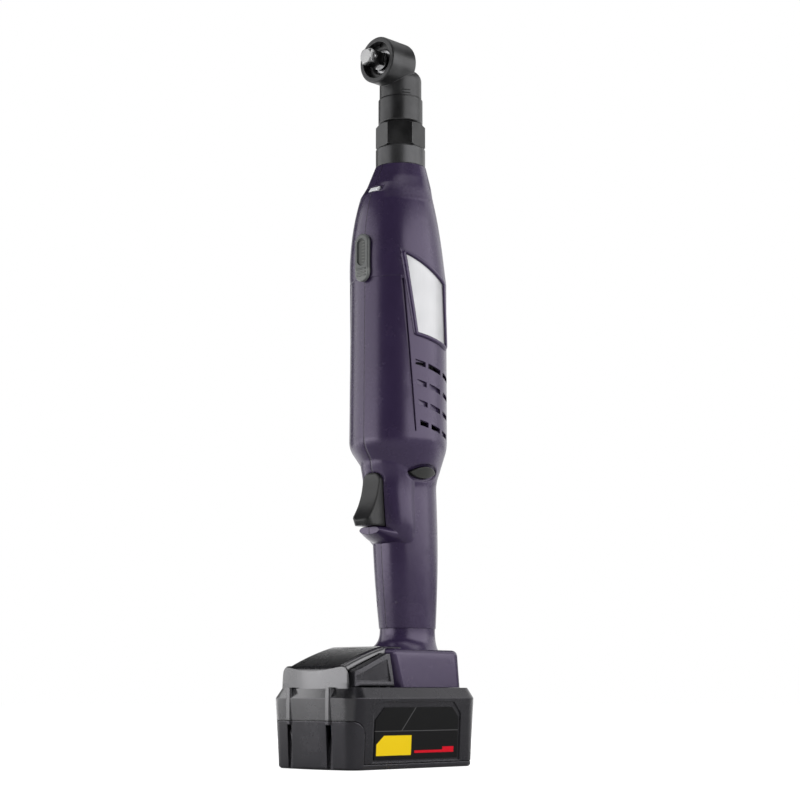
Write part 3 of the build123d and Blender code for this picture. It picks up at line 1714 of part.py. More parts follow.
latch_front_y = pack_front_y + 1 + hump_nose_d + latch_gap
latch_corners = [
    (latch_front_y, deck_z + latch_gap),
    (latch_front_y, hump_front_z - 3.0),
    (foot_nose_y + 3.0, hump_peak_z - 5.0),
    (foot_front_y - 6.5, hump_peak_z - 5.0),
    (foot_front_y - 2.5, deck_z + latch_gap),
]
latch_rise = (hump_peak_z - hump_front_z - 2.0) / (foot_nose_y + 3.0 - latch_front_y)
latch_inner_corners = [
    (latch_front_y + 4.1, deck_z + latch_gap),
    (latch_front_y + 4.1, hump_front_z - 3.0 + 4.1 * latch_rise),
    *latch_corners[2:],
]
with BuildPart() as latch_room:
    for side in (-1, 1):
        with BuildSketch(Plane.YZ):
            Polygon(*latch_inner_corners, align=None)
            offset(amount=latch_gap, kind=Kind.INTERSECTION)
        extrude(amount=side * (hump_half_w + 2))
    with BuildSketch(Plane.YZ):
        Polygon(*latch_inner_corners, align=None)
        offset(amount=latch_gap + 1, kind=Kind.INTERSECTION)
    extrude(amount=hump_half_w - pack_wall - 0.6, both=True, mode=Mode.SUBTRACT)

# Wide front of the hump, which hides the front ends of the latches
hump_wide = hump_form(0, pack_front_y + 1, deck_z - 1, hump_nose_half_w)
with BuildPart() as hump_nose:
    add(hump_wide)
    split(bisect_by=Plane.XZ.offset(-pack_front_y - 1 - hump_nose_d), keep=Keep.TOP)
    fillet(hump_nose.edges().filter_by(Axis.Z).group_by(Axis.Y)[0], hump_nose_r)

with BuildPart() as hump:
    add(hump_outer)
    top_sides = [e for e in hump.edges() if e.center().Z > hump_front_z and abs(e.center().X) > 1]
    fillet(top_sides, hump_edge_r)
    brow_edges = hump.edges().filter_by(Axis.X).filter_by_position(Axis.Z, hump_front_z - 1, hump_front_z + 1)
    fillet(brow_edges, hump_brow_r)
    add(hump_nose.part)
    add(hump_plan, mode=Mode.INTERSECT)
    add(foot_room, mode=Mode.SUBTRACT)

with BuildPart() as hump_hollow:
    add(hump_inner)
    add(foot_wall_room, mode=Mode.SUBTRACT)

with BuildPart() as side_panel:
    with BuildSketch(side_plane):
        Polygon(*panel_corners, align=None)
    extrude(amount=-panel_d)

with BuildPart() as pack_shell:
    add(pack_outer)
    add(pack_inner, mode=Mode.SUBTRACT)
    for x in front_rib_places:
        with BuildSketch(Plane.XY.offset(front_rib_z)):
            with Locations((x, front_rib_y + 2.5)):
                RectangleRounded(front_rib_width, 5, 1.2)
        extrude(amount=deck_z - front_rib_z)
        with BuildSketch(Plane.XY):
            with Locations((x, front_groove_y - 5)):
                Rectangle(front_rib_width, 10)
        extrude(amount=front_rib_z, mode=Mode.SUBTRACT)
    for x, y in pack_screw_places:
        with BuildSketch(Plane.XY.offset(pack_wall / 2)):
            with Locations((x, y)):
                Circle(pack_boss_r)
        extrude(amount=deck_z - pack_wall)
    add(side_panel.part, mode=Mode.SUBTRACT)
    add(mirror(side_panel.part, about=Plane.YZ, mode=Mode.PRIVATE), mode=Mode.SUBTRACT)
    add(seam_groove.part, mode=Mode.SUBTRACT)

with BuildPart() as pack_lower_case:
    add(pack_shell.part)
    add(lower_region, mode=Mode.INTERSECT)
    with BuildSketch(Plane.XY):
        with Locations(*pack_screw_places):
            Circle(pack_screw_r + face_gap)
    extrude(amount=pack_seam_h, mode=Mode.SUBTRACT)
    with BuildSketch(Plane.XY):
        with Locations(*pack_screw_places):
            Circle(pack_screw_head_r + face_gap)
    extrude(amount=pack_screw_seat_z, mode=Mode.SUBTRACT)

with BuildPart() as pack_upper_case:
    add(pack_shell.part)
    add(lower_region, mode=Mode.SUBTRACT)
    with BuildSketch(Plane.XY):
        with Locations(*pack_screw_places):
            Circle(pack_screw_r + seat_gap)
    extrude(amount=pack_screw_seat_z + pack_screw_length + 0.5, mode=Mode.SUBTRACT)
    add(hump.part)
    add(hump_hollow.part, mode=Mode.SUBTRACT)
    add(latch_room.part, mode=Mode.SUBTRACT)
    for z, half, top, front in (
        (deck_z - 1, rail_neck_half_w, rail_low_z + slide_gap + 1, rail_front_y),
        (rail_low_z + slide_gap, rail_half_w, rail_top_z, rail_front_y),
        (deck_z - 1, bridge_half_w, rail_top_z, bridge_front_y),
    ):
        with BuildSketch(Plane.XY.offset(z)):
            with Locations((0, (rail_back_y + front) / 2)):
                Rectangle(2 * half, rail_back_y - front)
        extrude(amount=top - z)
    with BuildSketch(Plane.XY.offset(rail_top_z - blade_h - 1)):
        with Locations(*[(x, (blade_slot_y + rail_back_y + 1) / 2) for x in blade_places]):
            Rectangle(blade_t + 1.2, rail_back_y + 1 - blade_slot_y)
    extrude(amount=blade_h + 2, mode=Mode.SUBTRACT)
    with BuildSketch(Plane.XY.offset(deck_z - 1)):
        with Locations((0, latch_spring_y)):
            Rectangle(2 * latch_post_half_w, 9)
    extrude(amount=hump_front_z - 2 - deck_z)

with BuildPart() as pack_label:
    with BuildSketch(side_plane.offset(-panel_d)):
        Polygon(*label_corners, align=None)
    extrude(amount=label_t)

with BuildPart() as battery_cells:
    with BuildSketch(Plane.YZ):
        for row in (0, 1):
            for i in range(cells_across):
                y = (pack_front_y + pack_back_y) / 2 + cell_pitch * (i - (cells_across - 1) / 2)
                with Locations((y, pack_wall + cell_r * (1 + 2 * row))):
                    Circle(cell_r - seat_gap)
    extrude(amount=cell_length / 2, both=True)

with BuildPart() as pack_board:
    with BuildSketch(Plane.XY.offset(pack_wall + 4 * cell_r)):
        with Locations((0, (pack_front_y + pack_back_y) / 2)):
            Rectangle(54, 82)
    extrude(amount=1.6)

with BuildPart() as pack_screws:
    with BuildSketch(Plane.XY.offset(pack_screw_seat_z)):
        with Locations(*pack_screw_places):
            Circle(pack_screw_r)
    extrude(amount=pack_screw_length)
    with BuildSketch(Plane.XY.offset(pack_screw_seat_z)):
        with Locations(*pack_screw_places):
            Circle(pack_screw_head_r)
    extrude(amount=-1.4)

# Latch button of the right side: grip plate outside, stem into the hump
latch_plan = pack_form([(deck_z - 2, -latch_inset), (hump_peak_z + 2, -latch_inset - 2)])
with BuildPart() as latch_panel:
    with BuildSketch(Plane.YZ.offset(latch_outer_x - 1.2)):
        Polygon(*latch_corners, align=None)
        offset(amount=-3.4, kind=Kind.INTERSECTION)
    extrude(amount=8)

with BuildPart() as latch_right:
    with BuildSketch(Plane.YZ.offset(latch_outer_x - latch_plate_t)):
        Polygon(*latch_corners, align=None)
    extrude(amount=latch_plate_t)
    fillet(latch_right.faces().sort_by(Axis.X)[-1].edges(), 1.6)
    with BuildSketch(Plane.YZ.offset(hump_half_w + 0.4)):
        Polygon(*latch_inner_corners, align=None)
    extrude(amount=latch_outer_x - latch_plate_t - hump_half_w)
    add(latch_plan, mode=Mode.INTERSECT)
    add(latch_panel.part, mode=Mode.SUBTRACT)
    with BuildSketch(Plane.YZ.offset(latch_stem_x)):
        with Locations((latch_spring_y, latch_spring_z)):
            RectangleRounded(11, 8, 1)
    extrude(amount=hump_half_w + 1 - latch_stem_x)

with BuildPart() as latch_left:
    add(mirror(latch_right.part, about=Plane.YZ, mode=Mode.PRIVATE))

latch_spring_length = latch_stem_x - latch_post_half_w
right_spring = coil(
    (latch_post_half_w + spring_end, latch_spring_y, latch_spring_z),
    (1, 0, 0),
    latch_spring_r,
    latch_wire_r,
    latch_spring_length - 2 * spring_end,
    latch_turns,
)
with BuildPart() as latch_springs:
    add(right_spring)
    add(mirror(right_spring, about=Plane.YZ, mode=Mode.PRIVATE))

nodes = {
    "right_housing": right_housing.part,
    "left_housing": left_housing.part,
    "housing_screws": housing_screws.part,
    "name_plate": name_plate.part,
    "trigger": trigger.part,
    "trigger_spring": trigger_spring,
    "trigger_switch": trigger_switch.part,
    "direction_selector": direction_selector.part,
    "window_cover": window_cover.part,
    "led_lens": led_lens.part,
    "led_board": led_board.part,
    "controller_board": controller_board.part,
    "motor_leads": motor_leads.part,
    "battery_leads": battery_leads.part,
    "motor_rear_plate": motor_rear_plate.part,
    "motor_front_plate": motor_front_plate,
    "rotor_bearings": rotor_bearings.part,
    "cooling_fan": cooling_fan.part,
    "motor_stator": motor_stator.part,
    "stator_windings": stator_windings.part,
    "rotor_core": rotor_core.part,
    "rotor_shaft": rotor_shaft.part,
    "ring_gear": ring_gear.part,
    "first_planet_1": first_planets[0],
    "first_planet_2": first_planets[1],
    "first_planet_3": first_planets[2],
    "first_carrier": first_carrier.part,
    "second_planet_1": second_planets[0],
    "second_planet_2": second_planets[1],
    "second_planet_3": second_planets[2],
    "second_carrier": second_carrier.part,
    "clutch_nut": clutch_nut.part,
    "clutch_spring": clutch_spring,
    "clutch_cam": clutch_cam.part,
    "clutch_balls": clutch_balls.part,
    "clutch_shaft": clutch_shaft.part,
    "clutch_bearing": clutch_bearing.part,
    "gear_case": gear_case.part,
    "lock_nut": lock_nut.part,
    "head_housing": head_housing.part,
    "head_clip": head_clip.part,
    "pinion_bearings": pinion_bearings.part,
    "bevel_pinion": bevel_pinion.part,
    "bevel_gear": bevel_gear.part,
    "spindle_bearing": spindle_bearing,
    "head_ring": head_ring.part,
    "drive_spindle": drive_spindle.part,
    "detent_ball": detent_ball.part,
    "battery_foot": battery_foot.part,
    "terminal_block": terminal_block.part,
    "terminal_blades": terminal_blades.part,
    "pack_lower_case": pack_lower_case.part,
    "pack_upper_case": pack_upper_case.part,
    "pack_label": pack_label.part,
    "battery_cells": battery_cells.part,
    "pack_board": pack_board.part,
    "pack_screws": pack_screws.part,
    "latch_right": latch_right.part,
    "latch_left": latch_left.part,
    "latch_springs": latch_springs.part,
}
for name, piece in nodes.items():
    piece.label = name
    export_step(piece, f"parts/{name}.step")
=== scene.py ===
import json
import math
import bmesh
import bpy
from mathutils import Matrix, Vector
from mathutils.bvhtree import BVHTree


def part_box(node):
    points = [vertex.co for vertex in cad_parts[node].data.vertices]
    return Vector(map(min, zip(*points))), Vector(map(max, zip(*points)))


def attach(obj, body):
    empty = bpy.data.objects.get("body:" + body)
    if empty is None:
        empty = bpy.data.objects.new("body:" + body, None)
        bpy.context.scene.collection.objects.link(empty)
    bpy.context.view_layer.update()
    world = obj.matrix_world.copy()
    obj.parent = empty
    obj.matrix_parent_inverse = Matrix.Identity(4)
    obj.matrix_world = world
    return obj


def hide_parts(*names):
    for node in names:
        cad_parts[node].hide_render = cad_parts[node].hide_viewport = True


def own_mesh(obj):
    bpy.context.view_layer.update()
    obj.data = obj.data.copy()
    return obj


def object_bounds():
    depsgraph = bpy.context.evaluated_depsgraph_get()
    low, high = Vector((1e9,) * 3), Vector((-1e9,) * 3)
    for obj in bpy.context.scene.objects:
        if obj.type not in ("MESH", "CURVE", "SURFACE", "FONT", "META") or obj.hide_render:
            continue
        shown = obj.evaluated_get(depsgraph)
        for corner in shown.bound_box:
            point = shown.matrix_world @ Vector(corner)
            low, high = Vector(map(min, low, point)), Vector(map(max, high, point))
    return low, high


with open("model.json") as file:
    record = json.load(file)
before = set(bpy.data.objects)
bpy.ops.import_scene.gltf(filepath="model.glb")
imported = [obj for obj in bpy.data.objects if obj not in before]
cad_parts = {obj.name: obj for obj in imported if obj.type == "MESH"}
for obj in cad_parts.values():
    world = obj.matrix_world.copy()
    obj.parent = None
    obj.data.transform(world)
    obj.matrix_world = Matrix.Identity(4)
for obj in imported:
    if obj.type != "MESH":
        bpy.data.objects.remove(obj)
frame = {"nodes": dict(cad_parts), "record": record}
cadLow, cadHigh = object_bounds()
nodes = frame["nodes"]

scene = bpy.context.scene
scene.view_settings.view_transform = "Standard"
bevelSamples = 6


class Signal:                                   # a shader socket that can be used in sums
    def __init__(self, sheet, socket):
        self.sheet = sheet
        self.socket = socket

    def calc(self, operation, *terms):
        return self.sheet.node("ShaderNodeMath", {"operation": operation}, dict(enumerate(terms)))

    def __add__(self, other):
        return self.calc("ADD", self, other)

    def __radd__(self, other):
        return self.calc("ADD", other, self)

    def __sub__(self, other):
        return self.calc("SUBTRACT", self, other)

    def __rsub__(self, other):
        return self.calc("SUBTRACT", other, self)

    def __mul__(self, other):
        return self.calc("MULTIPLY", self, other)

    def __rmul__(self, other):
        return self.calc("MULTIPLY", other, self)

    def __truediv__(self, other):
        return self.calc("DIVIDE", self, other)

    def __rtruediv__(self, other):
        return self.calc("DIVIDE", other, self)

    def __abs__(self):
        return self.calc("ABSOLUTE", self)

    def root(self):
        return self.calc("SQRT", self)

    def most(self, other):
        return self.calc("MAXIMUM", self, other)

    def stripes(self, pitch):                   # a wave between -1 and 1 that repeats at the pitch
        return self.calc("SINE", self * (2 * math.pi / pitch))

    def about(self, middle, span):              # spreads a field of 0 to 1 about a middle value
        return middle + span * (self - 0.5)

    def rise(self, low, high):                  # 0 below low, 1 above high, smooth between
        return self.sheet.node("ShaderNodeMapRange", {"interpolation_type": "SMOOTHSTEP"},
                               {"Value": self, "From Min": low, "From Max": high})

    def inside(self, low, high, soft):          # 1 between low and high
        return self.rise(low - soft, low + soft) * (1 - self.rise(high - soft, high + soft))

    def near(self, middle, half, soft):         # 1 within half of the middle
        return self.inside(middle - half, middle + half, soft)


class Sheet:                                    # one node tree, of a finish or of the world
    def __init__(self, tree):
        self.tree = tree
        tree.nodes.clear()

    def node(self, kind, settings=None, sockets=None, out=0):
        made = self.tree.nodes.new(kind)
        for key, value in (settings or {}).items():
            setattr(made, key, value)
        for key, value in (sockets or {}).items():
            if isinstance(value, Signal):
                self.tree.links.new(value.socket, made.inputs[key])
            else:
                made.inputs[key].default_value = value
        return Signal(self, made.outputs[out]) if made.outputs else None

    def place(self):                            # the point on the object, in metres
        return self.node("ShaderNodeTexCoord", out="Object")

    def axes(self):
        split = self.node("ShaderNodeSeparateXYZ", None, {0: self.place()})
        return [Signal(self, socket) for socket in split.socket.node.outputs]

    def stretched(self, scale):
        return self.node("ShaderNodeMapping", None, {"Vector": self.place(), "Scale": scale})

    def noise(self, scale, detail=2.0, rough=0.5, at=None):
        return self.node("ShaderNodeTexNoise", None,
                         {"Vector": at or self.place(), "Scale": scale, "Detail": detail, "Roughness": rough})

    def cells(self, scale):
        return self.node("ShaderNodeTexVoronoi", None, {"Vector": self.place(), "Scale": scale})

    def tint(self, share, low, high):           # a colour between two
        return self.node("ShaderNodeMix", {"data_type": "RGBA"}, {0: share, 6: low, 7: high}, out=2)

    def rounded(self, radius):                  # the normal with small radii on sharp edges
        return self.node("ShaderNodeBevel", {"samples": bevelSamples}, {"Radius": radius})

    def between(self, share, first, second):    # a normal between two
        mixed = self.node("ShaderNodeMix", {"data_type": "VECTOR"}, {0: share, 4: first, 5: second}, out=1)
        return self.node("ShaderNodeVectorMath", {"operation": "NORMALIZE"}, {0: mixed})

    def edges(self, soft, low, high):           # 1 on sharp edges
        true = self.node("ShaderNodeNewGeometry", out="Normal")
        dot = self.node("ShaderNodeVectorMath", {"operation": "DOT_PRODUCT"}, {0: soft, 1: true}, out="Value")
        return (1 - dot).rise(low, high)

    def bump(self, height, depth, base):        # depth in metres for a height of 1
        return self.node("ShaderNodeBump", None,
                         {"Strength": 1.0, "Distance": depth, "Height": height, "Normal": base})

    def rays(self):                             # 1 for what the camera sees, and 1 for what is mirrored
        outs = self.node("ShaderNodeLightPath").socket.node.outputs
        glossy = Signal(self, outs["Is Glossy Ray"])
        return Signal(self, outs["Is Camera Ray"]), glossy.most(Signal(self, outs["Is Transmission Ray"]))

    def surface(self, **sockets):
        named = {key.replace("_", " "): value for key, value in sockets.items()}
        shader = self.node("ShaderNodeBsdfPrincipled", None, named)
        self.node("ShaderNodeOutputMaterial", None, {"Surface": shader})


def newFinish(name):
    material = bpy.data.materials.new(name)
    material.use_nodes = True
    return material, Sheet(material.node_tree)


def rgb(red, green, blue):
    return (red, green, blue, 1.0)


def dress(material, *names):
    for name in names:
        mesh = nodes[name].data
        mesh.materials.clear()
        mesh.materials.append(material)


def usedSurface(sheet, look, wear):             # clouded colour, and edges that are rubbed pale and smooth
    soft = sheet.rounded(look["edge"])
    rub = sheet.edges(soft, *wear["edge"]) * sheet.noise(*wear["rubNoise"]).rise(*wear["rubSpan"])
    cloud = sheet.noise(*wear["cloudNoise"]).rise(*wear["cloudSpan"])
    grain = sheet.noise(look["grain"], *wear["grainNoise"])
    colour = sheet.tint(cloud, look["deep"], look["pale"])
    colour = sheet.tint(rub * wear["rubShare"], colour, look["worn"])
    handled = sheet.noise(*wear["handNoise"]).rise(*wear["handSpan"])
    rough = handled.about(look["rough"], look["roughSpan"]) + grain.about(0, wear["grainRough"])
    return soft, colour, rough - wear["rubShine"] * rub, grain


# Moulded plastics

plasticWear = {
    "edge": (0.06, 0.32), "rubNoise": (90, 3.0), "rubSpan": (0.38, 0.70), "rubShare": 0.55, "rubShine": 0.10,
    "cloudNoise": (28, 3.0), "cloudSpan": (0.30, 0.72), "handNoise": (55, 4.0, 0.6), "handSpan": (0.35, 0.75),
    "grainNoise": (2.0, 0.6), "grainRough": 0.05,
}
shellLook = {
    "deep": rgb(0.031, 0.020, 0.054), "pale": rgb(0.038, 0.025, 0.065), "worn": rgb(0.070, 0.054, 0.102),
    "rough": 0.27, "roughSpan": 0.06, "gloss": 0.6, "sheen": rgb(0.88, 0.78, 1.0), "grain": 2600,
    "grainDepth": 0.00003, "edge": 0.0006,
}
seamLook = {"span": (0.000096, 0.000288), "depth": 0.0004, "darkLine": rgb(0.008, 0.006, 0.012), "share": 0.8}
flowLook = {                                    # brow and taper are heights in the shell
    "brow": (0.384, 0.402), "browSoft": 0.002, "browSide": (0.009, 0.013), "browBack": (-0.010, 0.0),
    "browRadius": 0.014, "taper": (0.190, 0.218), "taperSoft": 0.003, "taperRadius": 0.0028,
}


def shellFlow(sheet):                           # wide radii where one shape of the shell meets the next
    x, y, z = sheet.axes()
    besideLens = abs(x).rise(*flowLook["browSide"]).most(y.rise(*flowLook["browBack"]))
    brow = z.inside(*flowLook["brow"], flowLook["browSoft"]) * besideLens
    taper = z.inside(*flowLook["taper"], flowLook["taperSoft"])
    soft = sheet.between(brow, sheet.rounded(shellLook["edge"]), sheet.rounded(flowLook["browRadius"]))
    return sheet.between(taper, soft, sheet.rounded(flowLook["taperRadius"]))


packLook = {
    "deep": rgb(0.0065, 0.0065, 0.0080), "pale": rgb(0.0095, 0.0095, 0.0115),
    "worn": rgb(0.034, 0.034, 0.037), "rough": 0.27, "roughSpan": 0.08, "gloss": 0.50,
    "sheen": rgb(0.94, 0.91, 1.0), "grain": 2000, "grainDepth": 0.00004, "edge": 0.0009,
}
lowerPackLook = dict(packLook, gloss=0.68)
polishLook = {                                  # deck is a height, front a place towards the trigger side
    "deck": (0.0535, 0.0545), "front": (-0.0815, -0.0785), "weight": 0.88, "rough": 0.25, "ior": 1.75,
}


def humpPolish(sheet):                          # the hump and the front band are smoother than the sides
    y, z = sheet.axes()[1:]
    return z.rise(*polishLook["deck"]).most(1 - y.rise(*polishLook["front"])) * polishLook["weight"]


triggerLook = {
    "deep": rgb(0.012, 0.012, 0.013), "pale": rgb(0.017, 0.017, 0.018), "worn": rgb(0.045, 0.045, 0.047),
    "rough": 0.34, "roughSpan": 0.10, "gloss": 0.34, "grain": 2400, "grainDepth": 0.00003, "edge": 0.0024,
}
selectorLook = dict(triggerLook, deep=rgb(0.030, 0.031, 0.029), pale=rgb(0.040, 0.041, 0.038), edge=0.0012)
coverLook = {
    "deep": rgb(0.066, 0.072, 0.070), "pale": rgb(0.086, 0.092, 0.090), "worn": rgb(0.17, 0.175, 0.173),
    "rough": 0.36, "roughSpan": 0.10, "gloss": 0.6, "grain": 2400, "grainDepth": 0.00003, "edge": 0.0009,
}
windowLook = {                                  # heights of middle and thumb are above the cover's lower end
    "middle": 0.0207, "reach": 0.0054, "half": 0.0036, "soft": 0.0002, "glass": rgb(0.016, 0.020, 0.016),
    "tickPitch": 0.0022, "tickSpan": (0.72, 0.86), "tickSides": (-0.0004, 0.0024), "tickSoft": 0.0001,
    "tickInk": rgb(0.12, 0.13, 0.12), "tickShare": 0.8,
    # the thumb rest's colour here is a painted highlight
    "thumb": (0.0077, 0.0097), "thumbHighlight": rgb(0.140, 0.146, 0.142),
}


def coverWindow(sheet, colour):                 # tinted window with plain ticks, and a painted highlight that makes the thumb rest paler
    x, z = sheet.axes()[::2]
    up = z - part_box("window_cover")[0].z
    over = (abs(up - windowLook["middle"]) - windowLook["reach"]).most(0.0)
    away = (x * x + over * over).root()
    glass = 1 - away.rise(windowLook["half"] - windowLook["soft"], windowLook["half"] + windowLook["soft"])
    ticks = z.stripes(windowLook["tickPitch"]).rise(*windowLook["tickSpan"])
    ticks = ticks * x.inside(*windowLook["tickSides"], windowLook["tickSoft"])
    # painted highlight: the lower thumb rest is made paler, as where its bulge catches the light
    colour = sheet.tint(1 - up.rise(*windowLook["thumb"]), colour, windowLook["thumbHighlight"])
    colour = sheet.tint(glass, colour, windowLook["glass"])
    return sheet.tint(glass * ticks * windowLook["tickShare"], colour, windowLook["tickInk"])


innerLook = {
    "deep": rgb(0.016, 0.016, 0.016), "pale": rgb(0.026, 0.026, 0.026), "worn": rgb(0.05, 0.05, 0.05),
    "rough": 0.55, "roughSpan": 0.12, "gloss": 0.4, "grain": 900, "grainDepth": 0.00005, "edge": 0.0004,
}


def mouldedPlastic(name, look, seam=None, flow=None, polish=None, paint=None):
    material, sheet = newFinish(name)
    soft, colour, rough, height = usedSurface(sheet, look, plasticWear)
    if paint:
        colour = paint(sheet, colour)
    if seam:                                    # the line where the two halves of the shell meet
        line = 1 - abs(sheet.axes()[0]).rise(*seam["span"])
        colour = sheet.tint(line * seam["share"], colour, seam["darkLine"])
        height = height - line * (seam["depth"] / look["grainDepth"])
    if flow:
        soft = flow(sheet)
    normal = sheet.bump(height, look["grainDepth"], soft)
    sheet.surface(Base_Color=colour, Roughness=rough, Normal=normal, Specular_IOR_Level=look["gloss"],
                  Specular_Tint=look.get("sheen", rgb(1, 1, 1)), Coat_Weight=polish(sheet) if polish else 0.0,
                  Coat_Roughness=polishLook["rough"], Coat_IOR=polishLook["ior"])
    return material


shellViolet = mouldedPlastic("shell_violet", shellLook, seam=seamLook, flow=shellFlow)
dress(shellViolet, "right_housing", "left_housing")
dress(mouldedPlastic("foot_violet", shellLook, flow=shellFlow), "battery_foot")
dress(mouldedPlastic("pack_plastic", lowerPackLook), "pack_lower_case", "latch_right", "latch_left")
dress(mouldedPlastic("hump_plastic", packLook, polish=humpPolish), "pack_upper_case")
dress(mouldedPlastic("trigger_plastic", triggerLook), "trigger")
dress(mouldedPlastic("selector_plastic", selectorLook), "direction_selector")
dress(mouldedPlastic("cover_plastic", coverLook, paint=coverWindow), "window_cover")
dress(mouldedPlastic("inner_plastic", innerLook), "trigger_switch", "terminal_block", "cooling_fan")
print("plastics done")

# Bead of the shell round the name plate

beadLook = {                                    # corners are the ways across and up in which each one lies
    "out": 0.0014, "half": 0.0014, "height": 0.0011, "sink": 0.0005, "step": 0.0010, "round": 4, "sides": 6,
    "corners": [(-1, 1), (1, 0.8), (1, -1), (-1, -0.8)],
}


def plateCorners():                             # corners of the name plate, as places across and up
    spots = [vert.co for vert in nodes["name_plate"].data.vertices]
    ends = [max(spots, key=lambda spot: spot.y * way[0] + spot.z * way[1]) for way in beadLook["corners"]]
    return [Vector((end.y, end.z)) for end in ends]


def beadPath():                                 # a loop outside the plate, round at its corners
    corners = plateCorners()
    count = len(corners)
    loop = []
    for index, corner in enumerate(corners):
        run = corners[(index + 1) % count] - corner
        before = (corner - corners[index - 1]).normalized()
        after = run.normalized()
        turn = before.angle_signed(after)
        for part in range(beadLook["round"] + 1):
            angle = turn * part / beadLook["round"]
            way = Vector((before.x * math.cos(angle) + before.y * math.sin(angle),
                          before.y * math.cos(angle) - before.x * math.sin(angle)))
            loop.append((corner + beadLook["out"] * Vector((-way.y, way.x)), way))
        steps = int(run.length / beadLook["step"])
        side = Vector((-after.y, after.x)) * beadLook["out"]
        loop += [(corner + run * part / steps + side, after) for part in range(1, steps)]
    return loop


def beadRing(form, skin, spot, way):            # a low arch over the skin, with its two feet in the shell
    across = Vector((-way.y, way.x))
    sides = beadLook["sides"]
    ring = []
    for part in range(sides + 1):
        angle = math.pi * part / sides
        reach = spot + across * beadLook["half"] * math.cos(angle)
        place, normal = skin.ray_cast(Vector((1, reach.x, reach.y)), Vector((-1, 0, 0)))[:2]
        lift = beadLook["height"] * math.sin(angle) - (beadLook["sink"] if part in (0, sides) else 0)
        ring.append(form.verts.new(place + normal * lift))
    return ring


def plateBead():
    skin = BVHTree.FromObject(nodes["right_housing"], bpy.context.evaluated_depsgraph_get())
    mesh = bpy.data.meshes.new("plate_bead")
    form = bmesh.new()
    rings = [beadRing(form, skin, spot, way) for spot, way in beadPath()]
    for index, ring in enumerate(rings):
        other = rings[(index + 1) % len(rings)]
        for part in range(len(ring)):           # part - 1 closes the ring under the bead
            form.faces.new((ring[part - 1], ring[part], other[part], other[part - 1]))
    bmesh.ops.recalc_face_normals(form, faces=form.faces)
    form.to_mesh(mesh)
    form.free()
    mesh.shade_smooth()
    mesh.materials.append(mouldedPlastic("bead_violet", shellLook))
    bead = bpy.data.objects.new("plate_bead", mesh)
    scene.collection.objects.link(bead)
    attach(bead, "housing")


plateBead()
print("plate bead done")

# Copies of nodes with a softer or closer form than their plain solids

copyLook = {"weld": 0.000002, "sharp": 28}


def reshaped(name, node, body, shaping):  # a welded copy of a node's mesh, which stands for the node
    mesh = nodes[node].data.copy()
    mesh.name = name
    if "custom_normal" in mesh.attributes:
        mesh.attributes.remove(mesh.attributes["custom_normal"])
    form = bmesh.new()
    form.from_mesh(mesh)
    bmesh.ops.remove_doubles(form, verts=form.verts, dist=copyLook["weld"])
    shaping(form)
    form.to_mesh(mesh)
    form.free()
    mesh.shade_smooth()
    mesh.set_sharp_from_angle(angle=math.radians(copyLook["sharp"]))
    piece = bpy.data.objects.new(name, mesh)
    scene.collection.objects.link(piece)
    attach(piece, body)
    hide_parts(node)
    return piece


humpLook = {                                    # zone is what lies in front of its y and above its z
    "edge": 0.0308, "front": -0.0836, "top": 0.0636, "rise": 0.42, "sideRadius": 0.0060,
    "frontRadius": 0.0042, "planRadius": 0.0060, "zone": (-0.0760, 0.0560), "cuts": 3, "shortEdge": 0.0012,
}


def drop(distance, radius):                     # how far a round edge lies under the flat, past its start
    inside = min(max(distance, 0.0), radius)
    return radius - math.sqrt(radius * radius - inside * inside)


def roundHump(form):
    back, floor = humpLook["zone"]
    zone = [face for face in form.faces
            if all(vert.co.y < back and vert.co.z > floor for vert in face.verts)]
    edges = list({edge for face in zone for edge in face.edges if edge.calc_length() > humpLook["shortEdge"]})
    bmesh.ops.subdivide_edges(form, edges=edges, cuts=humpLook["cuts"], use_grid_fill=True)
    bmesh.ops.triangulate(form, faces=[face for face in form.faces if len(face.verts) > 4])
    for vert in form.verts:
        x, y, z = vert.co
        if y > back or z < floor:
            continue
        flat = humpLook["top"] + humpLook["rise"] * (y - humpLook["front"])
        side = drop(abs(x) - humpLook["edge"] + humpLook["sideRadius"], humpLook["sideRadius"])
        corner = drop(abs(x) - humpLook["edge"] + humpLook["planRadius"], humpLook["planRadius"])
        front = drop(humpLook["front"] + humpLook["frontRadius"] - y + corner, humpLook["frontRadius"])
        vert.co.z = min(z, flat - side - front)


rimLook = {"height": 0.0001, "down": 0.0002}


def closeFoot(form):                            # the foot's rim comes down to the deck of the pack
    low = min(vert.co.z for vert in form.verts)
    for vert in form.verts:
        if vert.co.z < low + rimLook["height"]:
            vert.co.z -= rimLook["down"]


hump = reshaped("pack_hump", "pack_upper_case", "pack", roundHump)
foot = reshaped("foot_block", "battery_foot", "housing", closeFoot)
for case in (hump, foot):
    flat = case.modifiers.new("flat_faces", "WEIGHTED_NORMAL")
    flat.keep_sharp = True
print("hump and foot forms done")

# Metals

metalWear = {
    "edge": (0.03, 0.35), "rubNoise": (160, 3.0), "rubSpan": (0.36, 0.66), "rubShare": 0.7, "rubShine": 0.10,
    "cloudNoise": (60, 3.0), "cloudSpan": (0.30, 0.72), "handNoise": (60, 3.0), "handSpan": (0.30, 0.72),
    "grainNoise": (3.0, 0.6), "grainRough": 0.08,
}
headLook = {
    "deep": rgb(0.042, 0.042, 0.043), "pale": rgb(0.068, 0.068, 0.070), "worn": rgb(0.32, 0.32, 0.33),
    "rough": 0.38, "roughSpan": 0.12, "grain": 1500, "grainDepth": 0.00003, "edge": 0.0006, "metal": 0.8,
}
nutLook = {
    "deep": rgb(0.036, 0.036, 0.037), "pale": rgb(0.058, 0.058, 0.059), "worn": rgb(0.34, 0.34, 0.35),
    "rough": 0.34, "roughSpan": 0.10, "grain": 1700, "grainDepth": 0.00002, "edge": 0.0006, "metal": 0.82,
}
